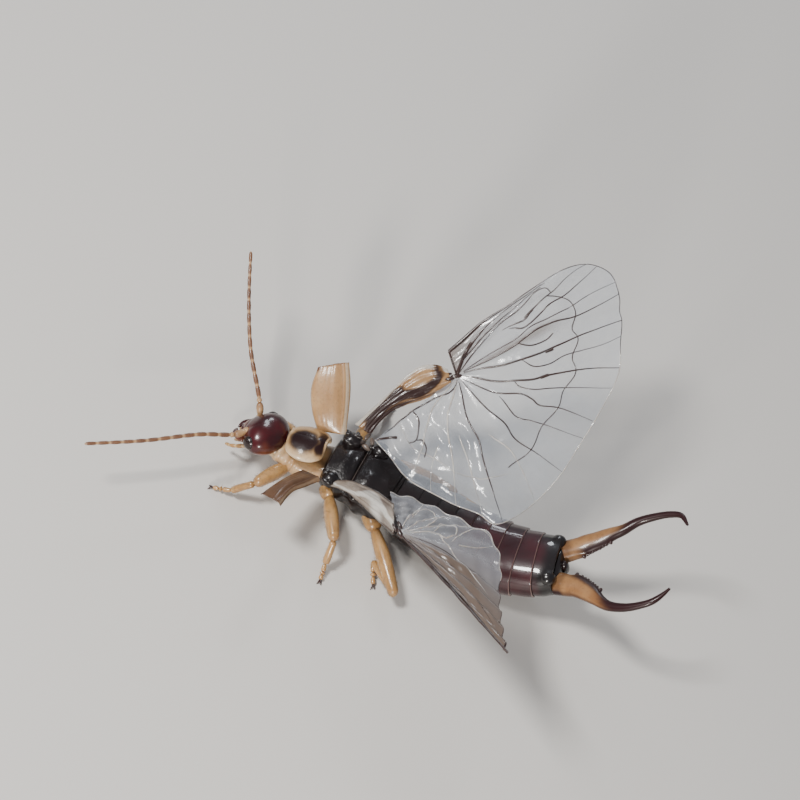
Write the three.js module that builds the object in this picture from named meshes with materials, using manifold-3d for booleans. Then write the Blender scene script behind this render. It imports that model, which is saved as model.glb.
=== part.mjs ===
// A male earwig at life size, standing with its wing cases and hind wings open.
// Millimetres. +X points to the head, +Y to the animal's left, +Z up, and the floor is z = 0.
import * as THREE from 'three';
import Module from 'manifold-3d';
import { mergeVertices } from 'three/addons/utils/BufferGeometryUtils.js';

const wasm = await Module();
wasm.setup();

// Clearance between neighbours, thickness of a thin sheet, and height of a vein's ridge
const GAP = 0.3;
const LEAF = 0.5;
const VEIN_RISE = 0.12;
const WELD = 1e-5;
const FLOOR_SIZE = { side: 60, depth: 10 };

// Head, in its own frame: x forward, y left, z up, origin at its middle. The tables run from mouth to neck.
const HEAD = {
  at: [4.42, 0.28, 1.6],
  turn: { yaw: -6, pitch: 8, roll: 10 },
  length: 1.78,
  width: 2.14,
  height: 1.24,
  halves: [0.42, 0.68, 0.85, 0.96, 1.0, 0.99, 0.92, 0.7],
  ups: [0.42, 0.72, 0.9, 1.0, 1.0, 0.96, 0.88, 0.72],
  downs: [0.5, 0.85, 1.0, 1.0, 0.95, 0.85, 0.75, 0.6],
  squareness: 2.3,
  rounding: { from: 0.035, power: 0.3 },
  rings: 12,
  sides: 18,
};
const EYE = { ahead: 0.16, out: 0.88, up: 0.06, halves: [0.3, 0.22, 0.29], sides: 12, rings: 8 };
const PALP = {
  path: [[0.52, 0.44, -0.58], [1.0, 0.64, -0.78], [1.34, 0.52, -0.96]],
  half: 0.23,
  taper: 0.86,
};
const MOUTH = { root: [0.74, 0, -0.12], tip: [1.4, 0, -0.32], half: 0.42, deep: 0.7, sides: 12 };
const ANTENNA = { beads: 13, scape: 0.12, half: 0.25, tip: 0.13, tapersFrom: 0.55, sides: 7 };
const ANTENNA_BEAD = [[0.04, 0.8], [0.5, 1], [0.9, 1.02]];
const ANTENNAE = {
  left: [[4.75, 0.8, 1.75], [5.35, 1.05, 1.8], [6.5, 2.0, 2.1], [8.1, 3.4, 2.2], [9.95, 4.8, 2.3]],
  right: [[4.7, -0.3, 1.9], [5.25, -0.7, 2.1], [6.45, -2.1, 2.85], [7.45, -3.7, 3.6], [8.28, -5.3, 4.3]],
};

// Pronotum and the soft neck below it, both in the pronotum's frame
const PRONOTUM = {
  at: [2.76, -0.05, 2.03],
  turn: { yaw: 4.5, pitch: 10, roll: 15 },
  length: 1.46,
  width: 2.18,
  thickness: 0.42,
  frontShare: 0.93,
  droop: 0.3,
  lift: 0.1,
  thinning: 0.45,
  rounding: { from: 0.02, power: 0.22 },
  rings: 10,
  across: 9,
};
const NECK = {
  length: 1.2,
  down: 1.02,
  width: 1.45,
  height: 0.95,
  ends: 0.86,
  rings: 6,
  sides: 14,
  squareness: 2.4,
};

// The middle line of the body, from the front of the mesothorax to the end of the abdomen
const BODY_LINE = [
  [1.95, -0.08, 1.5],
  [0.2, -0.1, 1.4],
  [-1.0, -0.06, 1.27],
  [-3.2, 0.1, 1.06],
  [-5.2, 0.22, 1.08],
  [-6.6, 0.16, 1.42],
  [-7.6, 0.02, 1.82],
  [-8.5, -0.1, 2.2],
];
const LINE_DIVISIONS = 400;
const MESOTHORAX = {
  from: 0.42,
  to: 1.2,
  halves: [1.1, 1.22, 1.3],
  ups: [0.5, 0.58, 0.6],
  downs: [0.78, 0.88, 0.92],
  roots: [
    { at: [1.3, -1.0, 1.95], halves: [0.42, 0.38, 0.36] },
    { at: [1.3, 0.92, 1.74], halves: [0.42, 0.36, 0.32] },
  ],
};
const METATHORAX = {
  from: 1.5,
  to: 2.85,
  halves: [1.34, 1.42, 1.46, 1.38],
  ups: [0.64, 0.72, 0.7, 0.64],
  downs: [0.9, 1.0, 1.0, 0.94],
  roots: [
    { at: [0.12, -1.1, 1.92], halves: [0.42, 0.38, 0.36] },
    { at: [0.12, 0.98, 1.74], halves: [0.42, 0.36, 0.32] },
  ],
};
const THORAX = { rings: 7, sides: 16, squareness: 2.5, ends: 0.9, rootSides: 12, rootRings: 8 };
const ABDOMEN = {
  from: 3.15,
  tergites: 9,
  tergite: 0.78,
  perNode: 3,
  step: 0.07,
  swellsAt: 0.35,
  endsAt: 0.97,
  sides: 18,
  squareness: 2.3,
  halves: [1.34, 1.42, 1.48, 1.52, 1.55, 1.55, 1.5, 1.42, 1.32, 1.2],
  ups: [0.72, 0.85, 0.92, 0.96, 1.0, 1.0, 0.97, 0.9, 0.82, 0.7],
  downs: [0.8, 0.92, 1.0, 1.06, 1.1, 1.1, 1.05, 0.95, 0.85, 0.7],
};

// Forceps, in their own frame: x tailward, y left, z up, origin at the end of the abdomen
const FORCEPS_TURN = { yaw: 190, pitch: -38, roll: 5 };
const FORCEPS_START = 0.62;
const FORCEPS_HALVES = [0.5, 0.44, 0.37, 0.32, 0.29, 0.27, 0.22, 0.12];
const FORCEPS_SHAPE = { flatness: 0.72, rings: 14, sides: 10 };
const TEETH = { count: 5, from: 0.05, to: 0.3, reach: 0.2, half: 0.14, sunk: 0.1, sides: 6 };
const FORCEPS = {
  left: {
    side: -1,
    lengths: [0, 0.24, 0.65, 1.12, 1.72, 2.4, 2.97, 3.5, 3.9, 4.12],
    spreads: [0.86, 0.92, 1.14, 1.44, 1.82, 1.94, 1.89, 1.74, 1.45, 1.22],
  },
  right: {
    side: 1,
    lengths: [0, 0.35, 0.7, 1.2, 1.75, 2.35, 3.0, 3.65, 4.1, 4.42],
    spreads: [0.8, 0.96, 1.08, 1.29, 1.47, 1.8, 1.97, 2.03, 1.94, 1.5],
  },
};

// Legs: the joints of the left side, and of the hidden right side drawn in under the body and wings
const LEGS = {
  front_left: {
    coxa: [2.95, 0.5, 1.0], knee: [3.84, 2.26, 1.12], ankle: [4.52, 2.5, 0.42], foot: [5.29, 2.6],
  },
  mid_left: {
    coxa: [1.3, 0.85, 1.0], knee: [0.08, 2.95, 1.15], ankle: [0.02, 3.5, 0.45], foot: [-0.1, 4.12],
  },
  hind_left: {
    coxa: [-0.6, 1.0, 0.95], knee: [-2.92, 3.68, 0.75], ankle: [-1.5, 2.4, 0.42], foot: [-1.95, 3.25],
  },
  front_right: {
    coxa: [2.9, -0.45, 0.95], knee: [4.3, -1.15, 0.58], ankle: [4.85, -1.1, 0.36], foot: [5.2, -0.8],
  },
  mid_right: {
    coxa: [1.3, -0.85, 1.0], knee: [1.1, -2.95, 1.15], ankle: [0.95, -3.9, 0.45], foot: [0.75, -4.9],
  },
  hind_right: {
    coxa: [-0.45, -0.95, 0.95], hip: [-0.6, -1.85, 0.7],
    knee: [-3.2, -1.92, 0.5], ankle: [-4.9, -1.7, 0.38], foot: [-5.8, -1.75],
  },
};
const COXA = { half: 0.36, share: 0.22 };
const FEMUR = { half: 0.28, deep: 1.15 };
const TIBIA_HALF = 0.245;
const TARSUS_HALF = 0.25;
const FOOT_HEIGHT = 0.2;

// How the half width of a limb segment changes from its start to its end, and how far its ends round off
const PROFILES = {
  plain: [[0, 1], [0.5, 1], [1, 1]],
  femur: [[0, 0.8], [0.15, 1], [0.4, 1.12], [0.7, 1], [1, 0.85]],
  tibia: [[0, 0.9], [0.2, 0.94], [0.7, 1], [1, 1.04]],
  tarsus: [[0, 0.92], [0.3, 1.04], [0.38, 0.86], [0.46, 0.9], [0.62, 1.04], [0.7, 0.84], [1, 0.96]],
  palp: [[0, 0.85], [0.6, 1.05], [1, 0.9]],
  mouth: [[0, 1.1], [0.5, 1], [1, 0.62]],
  tooth: [[0, 1], [1, 0.5]],
};
const CAP = { reach: 0.42, half: 0.6 };
const LIMB_SIDES = 8;

// Wing cases: each spans a front and a back edge from its root to its tip
const TEGMINA = {
  right: {
    front: [[2.72, -0.74, 1.92], [3.18, -1.06, 2.4], [3.63, -1.71, 2.88], [3.75, -2.41, 3.37]],
    back: [[1.62, -0.98, 2.16], [1.99, -1.85, 2.84], [2.35, -2.5, 3.32], [2.77, -3.03, 3.72]],
    bow: 0.14,
  },
  left: {
    front: [[2.44, 1.2, 1.88], [2.66, 1.69, 2.06], [2.92, 2.47, 2.35], [3.21, 3.49, 2.72]],
    back: [[1.6, 1.3, 2.08], [1.9, 2.0, 2.32], [2.2, 2.66, 2.6], [2.31, 3.69, 2.99]],
    bow: 0.14,
  },
};
const PLATE = { steps: 10, across: 5 };

// Hind wings: a leathery base plate, and a fan from the hub to the margin. Each vein is a row of shares
// along the margin, from the hub to the margin. The fan is pleated, with its veins on the crests.
const WINGS = {
  right: {
    base: {
      front: [
        [1.5, -1.5, 2.34],
        [1.32, -1.9, 2.61],
        [1.07, -2.44, 2.97],
        [0.83, -2.97, 3.32],
        [0.57, -3.62, 3.76],
        [0.22, -4.13, 4.09],
        [-0.31, -4.39, 4.26],
        [-0.76, -4.42, 4.27],
      ],
      back: [
        [0.81, -1.43, 2.28],
        [0.69, -1.95, 2.63],
        [0.48, -2.4, 2.93],
        [0.1, -2.78, 3.18],
        [-0.32, -3.1, 3.38],
        [-0.71, -3.45, 3.61],
        [-1.0, -3.75, 3.81],
        [-1.16, -4.06, 4.02],
      ],
      bow: 0.1,
    },
    hub: [-1.2, -4.37, 4.22],
    margin: [
      [-0.5, -4.95, 4.64],
      [-0.72, -5.35, 4.95],
      [-1.17, -6.3, 5.62],
      [-1.84, -7.2, 6.2],
      [-2.69, -8.53, 7.08],
      [-3.84, -9.55, 7.68],
      [-4.7, -9.7, 7.62],
      [-5.35, -9.2, 7.3],
      [-6.2, -8.05, 6.5],
      [-6.82, -6.6, 5.62],
      [-6.76, -4.87, 4.77],
      [-6.55, -2.94, 3.77],
      [-6.08, -1.24, 3.1],
      [-5.13, 0.1, 2.8],
      [-4.4, 0.02, 2.75],
      [-2.34, 0.05, 2.65],
      [-1.1, -0.2, 2.6],
      [-0.1, -0.8, 2.5],
      [0.5, -1.25, 2.32],
    ],
    veins: [
      [0.042, 0.05, 0.062, 0.088, 0.137],
      [0.117, 0.134, 0.16, 0.195, 0.215],
      [0.283, 0.293, 0.314, 0.327, 0.337],
      [0.39, 0.401, 0.4, 0.379, 0.371],
      [0.488, 0.492, 0.47, 0.447, 0.443],
      [0.566, 0.561, 0.531, 0.533, 0.536],
      [0.648, 0.648, 0.638, 0.636, 0.627],
      [0.751, 0.765, 0.745, 0.75, 0.751],
      [0.848, 0.866, 0.853, 0.834, 0.829],
      [0.93, 0.942, 0.931, 0.912, 0.907],
    ],
    camber: 0.25,
    pleat: 0.06,
  },
  left: {
    base: {
      front: [
        [1.15, 1.22, 1.85],
        [0.5, 1.5, 2.42],
        [-0.32, 2.04, 2.93],
        [-1.23, 2.66, 3.37],
        [-1.98, 3.15, 3.8],
      ],
      back: [
        [0.99, 1.18, 2.3],
        [0.47, 1.35, 2.95],
        [-0.27, 1.72, 3.67],
        [-0.86, 2.05, 4.14],
        [-1.48, 2.43, 4.5],
      ],
      bow: 0.08,
    },
    hub: [-2.2, 3.22, 4.12],
    margin: [
      [-7.65, 7.1, 6.3],
      [-7.2, 5.8, 5.4],
      [-6.55, 3.9, 4.3],
      [-5.9, 2.0, 3.75],
      [-5.14, 1.05, 3.45],
      [-3.87, 0.98, 3.35],
      [-2.7, 0.9, 3.25],
      [-1.8, 1.15, 3.45],
      [-1.1, 1.55, 3.72],
    ],
    veins: [0.06, 0.15, 0.25, 0.34, 0.44, 0.54, 0.64, 0.74, 0.84, 0.93].map((u) => [u, u]),
    camber: 0.3,
    pleat: 0.07,
  },
};
const FAN_ROWS = [0.1, 0.34, 0.6, 0.69, 0.72, 0.75, 0.88, 1];
const CROSS_VEIN_ROW = 4;
const VEIN_HALF = 0.01;
const PLEAT_FADE = { to: 0.7, span: 4, least: 0.2 };
const MEAN_SPOKES = [0.15, 0.75];
const SLOPE_STEP = { u: 0.01, t: 0.02 };

const COLOURS = {
  head: 0x5a231e,
  eye: 0x14100f,
  antenna: 0x7a5a42,
  palp: 0xc29a6c,
  pronotum: 0x4a332a,
  thorax: 0x1d1718,
  abdomen: 0x45191b,
  forceps: 0x8a5a3c,
  leg: 0xc9a27a,
  tegmen: 0xc19a70,
  squama: 0xb08d66,
  membrane: 0xa9b4bd,
};

const UP = new THREE.Vector3(0, 0, 1);
const SIDES = { left: 1, right: -1 };
const v3 = (p) => new THREE.Vector3(...p);
const within = (x, low, high) => Math.min(Math.max(x, low), high);

// Turns points and triangles into one indexed geometry with its faces outward.
function closedGeometry(points, triangles) {
  const geometry = new THREE.BufferGeometry();
  const positions = points.flatMap((p) => p.toArray());
  geometry.setAttribute('position', new THREE.Float32BufferAttribute(positions, 3));
  geometry.setIndex(triangles.flat());
  const merged = mergeVertices(geometry, WELD);
  if (signedVolume(merged) < 0) {
    const index = merged.getIndex().array;
    for (let i = 0; i < index.length; i += 3) {
      [index[i], index[i + 1]] = [index[i + 1], index[i]];
    }
  }
  return merged;
}

function signedVolume(geometry) {
  const p = geometry.getAttribute('position');
  const index = geometry.getIndex().array;
  const [a, b, c] = [new THREE.Vector3(), new THREE.Vector3(), new THREE.Vector3()];
  let total = 0;
  for (let i = 0; i < index.length; i += 3) {
    a.fromBufferAttribute(p, index[i]);
    b.fromBufferAttribute(p, index[i + 1]);
    c.fromBufferAttribute(p, index[i + 2]);
    total += a.dot(b.cross(c)) / 6;
  }
  return total;
}

function closedFrom(geometry) {
  const bare = geometry.clone();
  bare.deleteAttribute('normal');
  bare.deleteAttribute('uv');
  return mergeVertices(bare, WELD);
}

// A closed skin over rings that all have the same number of points.
function loft(rings) {
  const sides = rings[0].length;
  const points = rings.flat();
  const triangles = [];
  for (let i = 0; i + 1 < rings.length; i += 1) {
    for (let j = 0; j < sides; j += 1) {
      const a = i * sides + j;
      const b = i * sides + ((j + 1) % sides);
      triangles.push([a, b, a + sides], [b, b + sides, a + sides]);
    }
  }
  for (const [ring, turn] of [[0, false], [rings.length - 1, true]]) {
    const middle = new THREE.Vector3();
    rings[ring].forEach((p) => middle.add(p));
    points.push(middle.divideScalar(sides));
    for (let j = 0; j < sides; j += 1) {
      const a = ring * sides + j;
      const b = ring * sides + ((j + 1) % sides);
      triangles.push(turn ? [a, b, points.length - 1] : [b, a, points.length - 1]);
    }
  }
  return closedGeometry(points, triangles);
}

// A frame has an origin and three unit directions: along, left and up.
function frameOf(origin, along, up = UP) {
  const x = along.clone().normalize();
  const y = up.clone().cross(x).normalize();
  const z = x.clone().cross(y);
  return { origin: origin.clone(), x, y, z };
}

function inFrame(frame, x, y, z) {
  return frame.origin
    .clone()
    .addScaledVector(frame.x, x)
    .addScaledVector(frame.y, y)
    .addScaledVector(frame.z, z);
}

const moved = (frame, x, y, z) => ({ ...frame, origin: inFrame(frame, x, y, z) });

// A rounded section across a frame: its power is 2 for an ellipse and more for a squarer one.
function section(frame, half, up, down, sides, power = 2) {
  const ring = [];
  for (let j = 0; j < sides; j += 1) {
    const a = (2 * Math.PI * (j + 0.5)) / sides;
    const c = Math.cos(a);
    const s = Math.sin(a);
    const y = half * Math.sign(c) * Math.abs(c) ** (2 / power);
    const z = (s > 0 ? up : down) * Math.sign(s) * Math.abs(s) ** (2 / power);
    ring.push(inFrame(frame, 0, y, z));
  }
  return ring;
}

function lerpTable(table, t) {
  const last = table.length - 1;
  const k = within(t, 0, 1) * last;
  const i = Math.min(Math.floor(k), last - 1);
  return table[i] + (table[i + 1] - table[i]) * (k - i);
}

// Near 1 along most of t, and rounding off to both of its ends; a higher power rounds more.
const roundedEnds = (t, { from, power }) => Math.sin(Math.PI * within(t, from, 1 - from)) ** power;

// Solids for joining and cutting
function solidOf(geometry) {
  const mesh = new wasm.Mesh({
    numProp: 3,
    vertProperties: new Float32Array(geometry.getAttribute('position').array),
    triVerts: new Uint32Array(geometry.getIndex().array),
  });
  return new wasm.Manifold(mesh);
}

function geometryOf(solid) {
  const mesh = solid.getMesh();
  const geometry = new THREE.BufferGeometry();
  geometry.setAttribute('position', new THREE.Float32BufferAttribute(mesh.vertProperties, 3));
  geometry.setIndex(new THREE.Uint32BufferAttribute(mesh.triVerts, 1));
  return mergeVertices(geometry, WELD);
}

const largest = (solid) => solid.decompose().reduce((a, b) => (a.volume() > b.volume() ? a : b));
const joined = (geometries) => geometries.map(solidOf).reduce((a, b) => a.add(b));

// Takes the neighbours, already grown by the clearance, out of a solid.
function parted(solid, neighbours) {
  return geometryOf(largest(neighbours.reduce((rest, neighbour) => rest.subtract(neighbour), solid)));
}

// A limb segment from p to q with rounded ends; it is half wide, and deep times that in height.
function segment(p, q, half, profile, { sides = LIMB_SIDES, deep = 1 } = {}) {
  const along = q.clone().sub(p);
  const length = along.length();
  const frame = frameOf(p, along);
  const ring = (x, r) => section(moved(frame, x, 0, 0), r, r * deep, r * deep, sides);
  const first = half * profile[0][1];
  const last = half * profile[profile.length - 1][1];
  return loft([
    ring(-CAP.reach * first, CAP.half * first),
    ...profile.map(([t, swell]) => ring(t * length, half * swell)),
    ring(length + CAP.reach * last, CAP.half * last),
  ]);
}

function material(colour, roughness = 0.35, extra = {}) {
  return new THREE.MeshStandardMaterial({ color: colour, roughness, metalness: 0, ...extra });
}

function named(name, geometry, mat) {
  const mesh = new THREE.Mesh(geometry, mat);
  mesh.name = name;
  return mesh;
}

function turned(group, at, { yaw, pitch, roll }) {
  group.position.set(...at);
  group.rotation.set(...[roll, pitch, yaw].map(THREE.MathUtils.degToRad), 'ZYX');
  group.updateMatrix();
  return group;
}

// The same turn as a frame, so that pieces outside the group can be placed on it
function frameFrom(at, turn) {
  const group = turned(new THREE.Group(), at, turn);
  const [x, y, z] = [new THREE.Vector3(), new THREE.Vector3(), new THREE.Vector3()];
  group.matrix.extractBasis(x, y, z);
  return { origin: v3(at), x, y, z };
}

const OWN_FRAME = frameFrom([0, 0, 0], { yaw: 0, pitch: 0, roll: 0 });
const HEAD_FRAME = frameFrom(HEAD.at, HEAD.turn);
const PRONOTUM_FRAME = frameFrom(PRONOTUM.at, PRONOTUM.turn);

// The middle line as frames, by distance from its front end
const bodyCurve = new THREE.CatmullRomCurve3(BODY_LINE.map(v3));
bodyCurve.arcLengthDivisions = LINE_DIVISIONS;
const bodyLength = bodyCurve.getLength();

function bodyFrame(distance) {
  const u = within(distance / bodyLength, 0, 1);
  const past = distance - u * bodyLength;
  const tangent = bodyCurve.getTangentAt(u);
  const origin = bodyCurve.getPointAt(u).addScaledVector(tangent, past);
  return frameOf(origin, tangent.negate());
}

// Head capsule: broadest behind the eyes, narrower to the mouth
function headCapsule(frame, grow = 0) {
  const rings = [];
  for (let i = 0; i <= HEAD.rings; i += 1) {
    const t = i / HEAD.rings;
    const round = roundedEnds(t, HEAD.rounding);
    const across = (table, size) => (size / 2) * lerpTable(table, t) * round + grow;
    rings.push(section(
      moved(frame, (HEAD.length + 2 * grow) * (0.5 - t), 0, 0),
      across(HEAD.halves, HEAD.width),
      across(HEAD.ups, HEAD.height),
      across(HEAD.downs, HEAD.height),
      HEAD.sides,
      HEAD.squareness,
    ));
  }
  return loft(rings);
}

function eyeShape(side, grow = 0) {
  return closedFrom(new THREE.SphereGeometry(1, EYE.sides, EYE.rings))
    .scale(...EYE.halves.map((half) => half + grow))
    .translate(EYE.ahead, side * EYE.out, EYE.up);
}

// One length of the thorax, with the raised knobs that carry a wing case or a wing
function thoraxLength({ from, to, halves, ups, downs, roots }, grow = 0) {
  const rings = [];
  for (let i = 0; i <= THORAX.rings; i += 1) {
    const t = i / THORAX.rings;
    const edge = i === 0 || i === THORAX.rings ? THORAX.ends : 1;
    const [half, up, down] = [halves, ups, downs].map((table) => lerpTable(table, t) * edge + grow);
    const frame = bodyFrame(from - grow + (to - from + 2 * grow) * t);
    rings.push(section(frame, half, up, down, THORAX.sides, THORAX.squareness));
  }
  const knobs = roots.map(({ at, halves: sizes }) => (
    closedFrom(new THREE.SphereGeometry(1, THORAX.rootSides, THORAX.rootRings))
      .scale(...sizes.map((size) => size + grow))
      .translate(...at)
  ));
  return joined([loft(rings), ...knobs]);
}

// The abdomen swells to its middle; each tergite ends in a low step over the next one.
function abdomenRing(index, offset, swell, grow) {
  const t = (index + offset) / ABDOMEN.tergites;
  const { halves, ups, downs, sides, squareness } = ABDOMEN;
  const [half, up, down] = [halves, ups, downs].map((table) => lerpTable(table, t) * swell + grow);
  const frame = bodyFrame(ABDOMEN.from + (index + offset) * ABDOMEN.tergite);
  return section(frame, half, up, down, sides, squareness);
}

function abdomenLength(first, grow = 0) {
  const rings = [];
  const last = first + ABDOMEN.perNode - 1;
  const past = grow / ABDOMEN.tergite;
  const stop = last === ABDOMEN.tergites - 1 ? 0 : (GAP + ABDOMEN.step) / ABDOMEN.tergite;
  for (let i = first; i <= last; i += 1) {
    const start = i === first ? -past : 0;
    const end = i === last ? 1 - stop + past : ABDOMEN.endsAt;
    rings.push(abdomenRing(i, start, 1 - ABDOMEN.step / 2, grow));
    rings.push(abdomenRing(i, ABDOMEN.swellsAt, 1, grow));
    rings.push(abdomenRing(i, end, 1 + ABDOMEN.step / 2, grow));
  }
  return solidOf(loft(rings));
}

// Pronotum: a plate with rounded corners, arched across, its disc raised and its sides flared
function pronotumPlate(grow = 0) {
  const rings = [];
  for (let i = 0; i <= PRONOTUM.rings; i += 1) {
    const t = i / PRONOTUM.rings;
    const spread = PRONOTUM.frontShare + (1 - PRONOTUM.frontShare) * t;
    const half = (PRONOTUM.width / 2) * spread * roundedEnds(t, PRONOTUM.rounding) + grow;
    const lift = PRONOTUM.lift * Math.sin(Math.PI * t);
    const x = (PRONOTUM.length + 2 * grow) * (0.5 - t);
    const ring = [];
    for (const face of [1, -1]) {
      for (let j = 0; j <= PRONOTUM.across; j += 1) {
        const k = face * (1 - (2 * j) / PRONOTUM.across);
        const arch = -PRONOTUM.droop * k * k + lift * (1 - k * k);
        const thick = (PRONOTUM.thickness / 2) * (1 - PRONOTUM.thinning * Math.abs(k) ** 3) + grow;
        ring.push(inFrame(PRONOTUM_FRAME, x, half * k, arch + face * thick));
      }
    }
    rings.push(ring);
  }
  return solidOf(loft(rings));
}

function neckBody(grow = 0) {
  const rings = [];
  for (let i = 0; i <= NECK.rings; i += 1) {
    const round = i === 0 || i === NECK.rings ? NECK.ends : 1;
    const x = (NECK.length + 2 * grow) * (0.5 - i / NECK.rings);
    const half = (NECK.width / 2) * round + grow;
    const deep = (NECK.height / 2) * round + grow;
    const frame = moved(PRONOTUM_FRAME, x, 0, -NECK.down);
    rings.push(section(frame, half, deep, deep, NECK.sides, NECK.squareness));
  }
  return solidOf(loft(rings));
}

function leg({ coxa, hip, knee, ankle, foot }) {
  const [a, b, c] = [coxa, knee, ankle].map(v3);
  const d = v3([...foot, FOOT_HEIGHT]);
  const joint = hip ? v3(hip) : a.clone().lerp(b, COXA.share);
  return joined([
    segment(a, joint, COXA.half, PROFILES.plain),
    segment(joint, b, FEMUR.half, PROFILES.femur, { deep: FEMUR.deep }),
    segment(b, c, TIBIA_HALF, PROFILES.tibia),
    segment(c, d, TARSUS_HALF, PROFILES.tarsus),
  ]);
}

// Antenna: a chain of beads along a gentle curve, each narrow at its foot
function antenna(points) {
  const curve = new THREE.CatmullRomCurve3(points.map(v3));
  const rings = [];
  const edge = (i) => (i === 0 ? 0 : ANTENNA.scape + ((1 - ANTENNA.scape) * (i - 1)) / (ANTENNA.beads - 1));
  for (let i = 0; i < ANTENNA.beads; i += 1) {
    const [start, end] = [edge(i), edge(i + 1)];
    const worn = Math.max(0, (end - ANTENNA.tapersFrom) / (1 - ANTENNA.tapersFrom));
    const half = ANTENNA.half + (ANTENNA.tip - ANTENNA.half) * worn;
    for (const [t, swell] of ANTENNA_BEAD) {
      const u = start + (end - start) * t;
      const frame = frameOf(curve.getPointAt(u), curve.getTangentAt(u));
      rings.push(section(frame, half * swell, half * swell, half * swell, ANTENNA.sides));
    }
  }
  return solidOf(loft(rings));
}

// A plate spans two edge curves from its root to its tip and bows out of its surface.
function plate({ front, back, bow }, grow = 0) {
  const edges = [front, back].map((points) => new THREE.CatmullRomCurve3(points.map(v3)));
  const rings = [];
  for (let i = 0; i <= PLATE.steps; i += 1) {
    const t = i / PLATE.steps;
    const [a, b] = edges.map((edge) => edge.getPoint(t));
    const along = edges[0].getTangent(t).add(edges[1].getTangent(t)).normalize();
    const aside = a.clone().sub(b).normalize();
    const out = along.clone().cross(aside).normalize();
    const past = (2 * t - 1) * grow;
    const ring = [];
    for (const face of [1, -1]) {
      for (let j = 0; j <= PLATE.across; j += 1) {
        const k = face * (1 - (2 * j) / PLATE.across);
        const rise = bow * (1 - k * k) * Math.sin(Math.PI * t) + face * (LEAF / 2 + grow);
        ring.push(b.clone().lerp(a, (k + 1) / 2)
          .addScaledVector(aside, k * grow)
          .addScaledVector(along, past)
          .addScaledVector(out, rise));
      }
    }
    rings.push(ring);
  }
  return solidOf(loft(rings));
}

// How far u lies into the pleats: a whole number on a vein or an edge, a half between two
function pleatPhase(knots, u) {
  const after = knots.findIndex((knot) => knot > u);
  const i = after < 0 ? knots.length - 2 : after - 1;
  return i + (u - knots[i]) / (knots[i + 1] - knots[i]);
}

// Where a fan's points stand along the margin: on each vein and beside it, and halfway between two
function fanColumns(knots) {
  const columns = [{ u: 0, ridge: 1 }];
  for (let i = 1; i < knots.length; i += 1) {
    columns.push({ u: (knots[i - 1] + knots[i]) / 2, ridge: 0 });
    if (i < knots.length - 1) {
      columns.push({ u: knots[i] - VEIN_HALF, ridge: 0 });
      columns.push({ u: knots[i], ridge: 1 });
      columns.push({ u: knots[i] + VEIN_HALF, ridge: 0 });
    }
  }
  columns.push({ u: 1, ridge: 1 });
  return columns;
}

// A hind wing's fan, thick on both sides of its pleated middle surface. Its veins are ridges of the
// upper face, and a cross vein runs round it.
function fan({ hub, margin, veins, camber, pleat }) {
  const curve = new THREE.CatmullRomCurve3(margin.map(v3), false, 'centripetal');
  curve.arcLengthDivisions = LINE_DIVISIONS;
  const centre = v3(hub);
  const ends = MEAN_SPOKES.map((u) => curve.getPointAt(u).sub(centre));
  const mean = ends[0].clone().cross(ends[1]).normalize();
  if (mean.z < 0) {
    mean.negate();
  }
  const sheet = (u, t) => {
    const rim = curve.getPointAt(within(u, 0, 1));
    const arch = camber * Math.sin(Math.PI * t) * Math.sin(Math.PI * within(u, 0, 1));
    return centre.clone().lerp(rim, t).addScaledVector(mean, arch);
  };
  const normal = (u, t) => {
    const du = sheet(u + SLOPE_STEP.u, t).sub(sheet(u - SLOPE_STEP.u, t));
    const dt = sheet(u, t + SLOPE_STEP.t).sub(sheet(u, t - SLOPE_STEP.t));
    const n = du.cross(dt).normalize();
    return n.dot(mean) < 0 ? n.negate() : n;
  };
  const fold = (knots, u, t) => {
    const reach = within(curve.getPointAt(u).distanceTo(centre) / PLEAT_FADE.span, PLEAT_FADE.least, 1);
    const fade = THREE.MathUtils.smoothstep(t, 0, PLEAT_FADE.to) * reach;
    return pleat * Math.cos(2 * Math.PI * pleatPhase(knots, u)) * fade;
  };
  const lattice = FAN_ROWS.map((t, row) => {
    const knots = [0, ...veins.map((vein) => lerpTable(vein, t)), 1];
    return fanColumns(knots).map(({ u, ridge }) => ({
      middle: sheet(u, t).addScaledVector(mean, fold(knots, u, t)),
      out: normal(u, t),
      ridge: ridge || row === CROSS_VEIN_ROW ? VEIN_RISE : 0,
    }));
  });
  const face = (height) => lattice.map((row) => row.map((p) => (
    p.middle.clone().addScaledVector(p.out, height(p))
  )));
  return solidOf(sheetBetween(face(({ ridge }) => LEAF / 2 + ridge), face(() => -LEAF / 2)));
}

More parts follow.
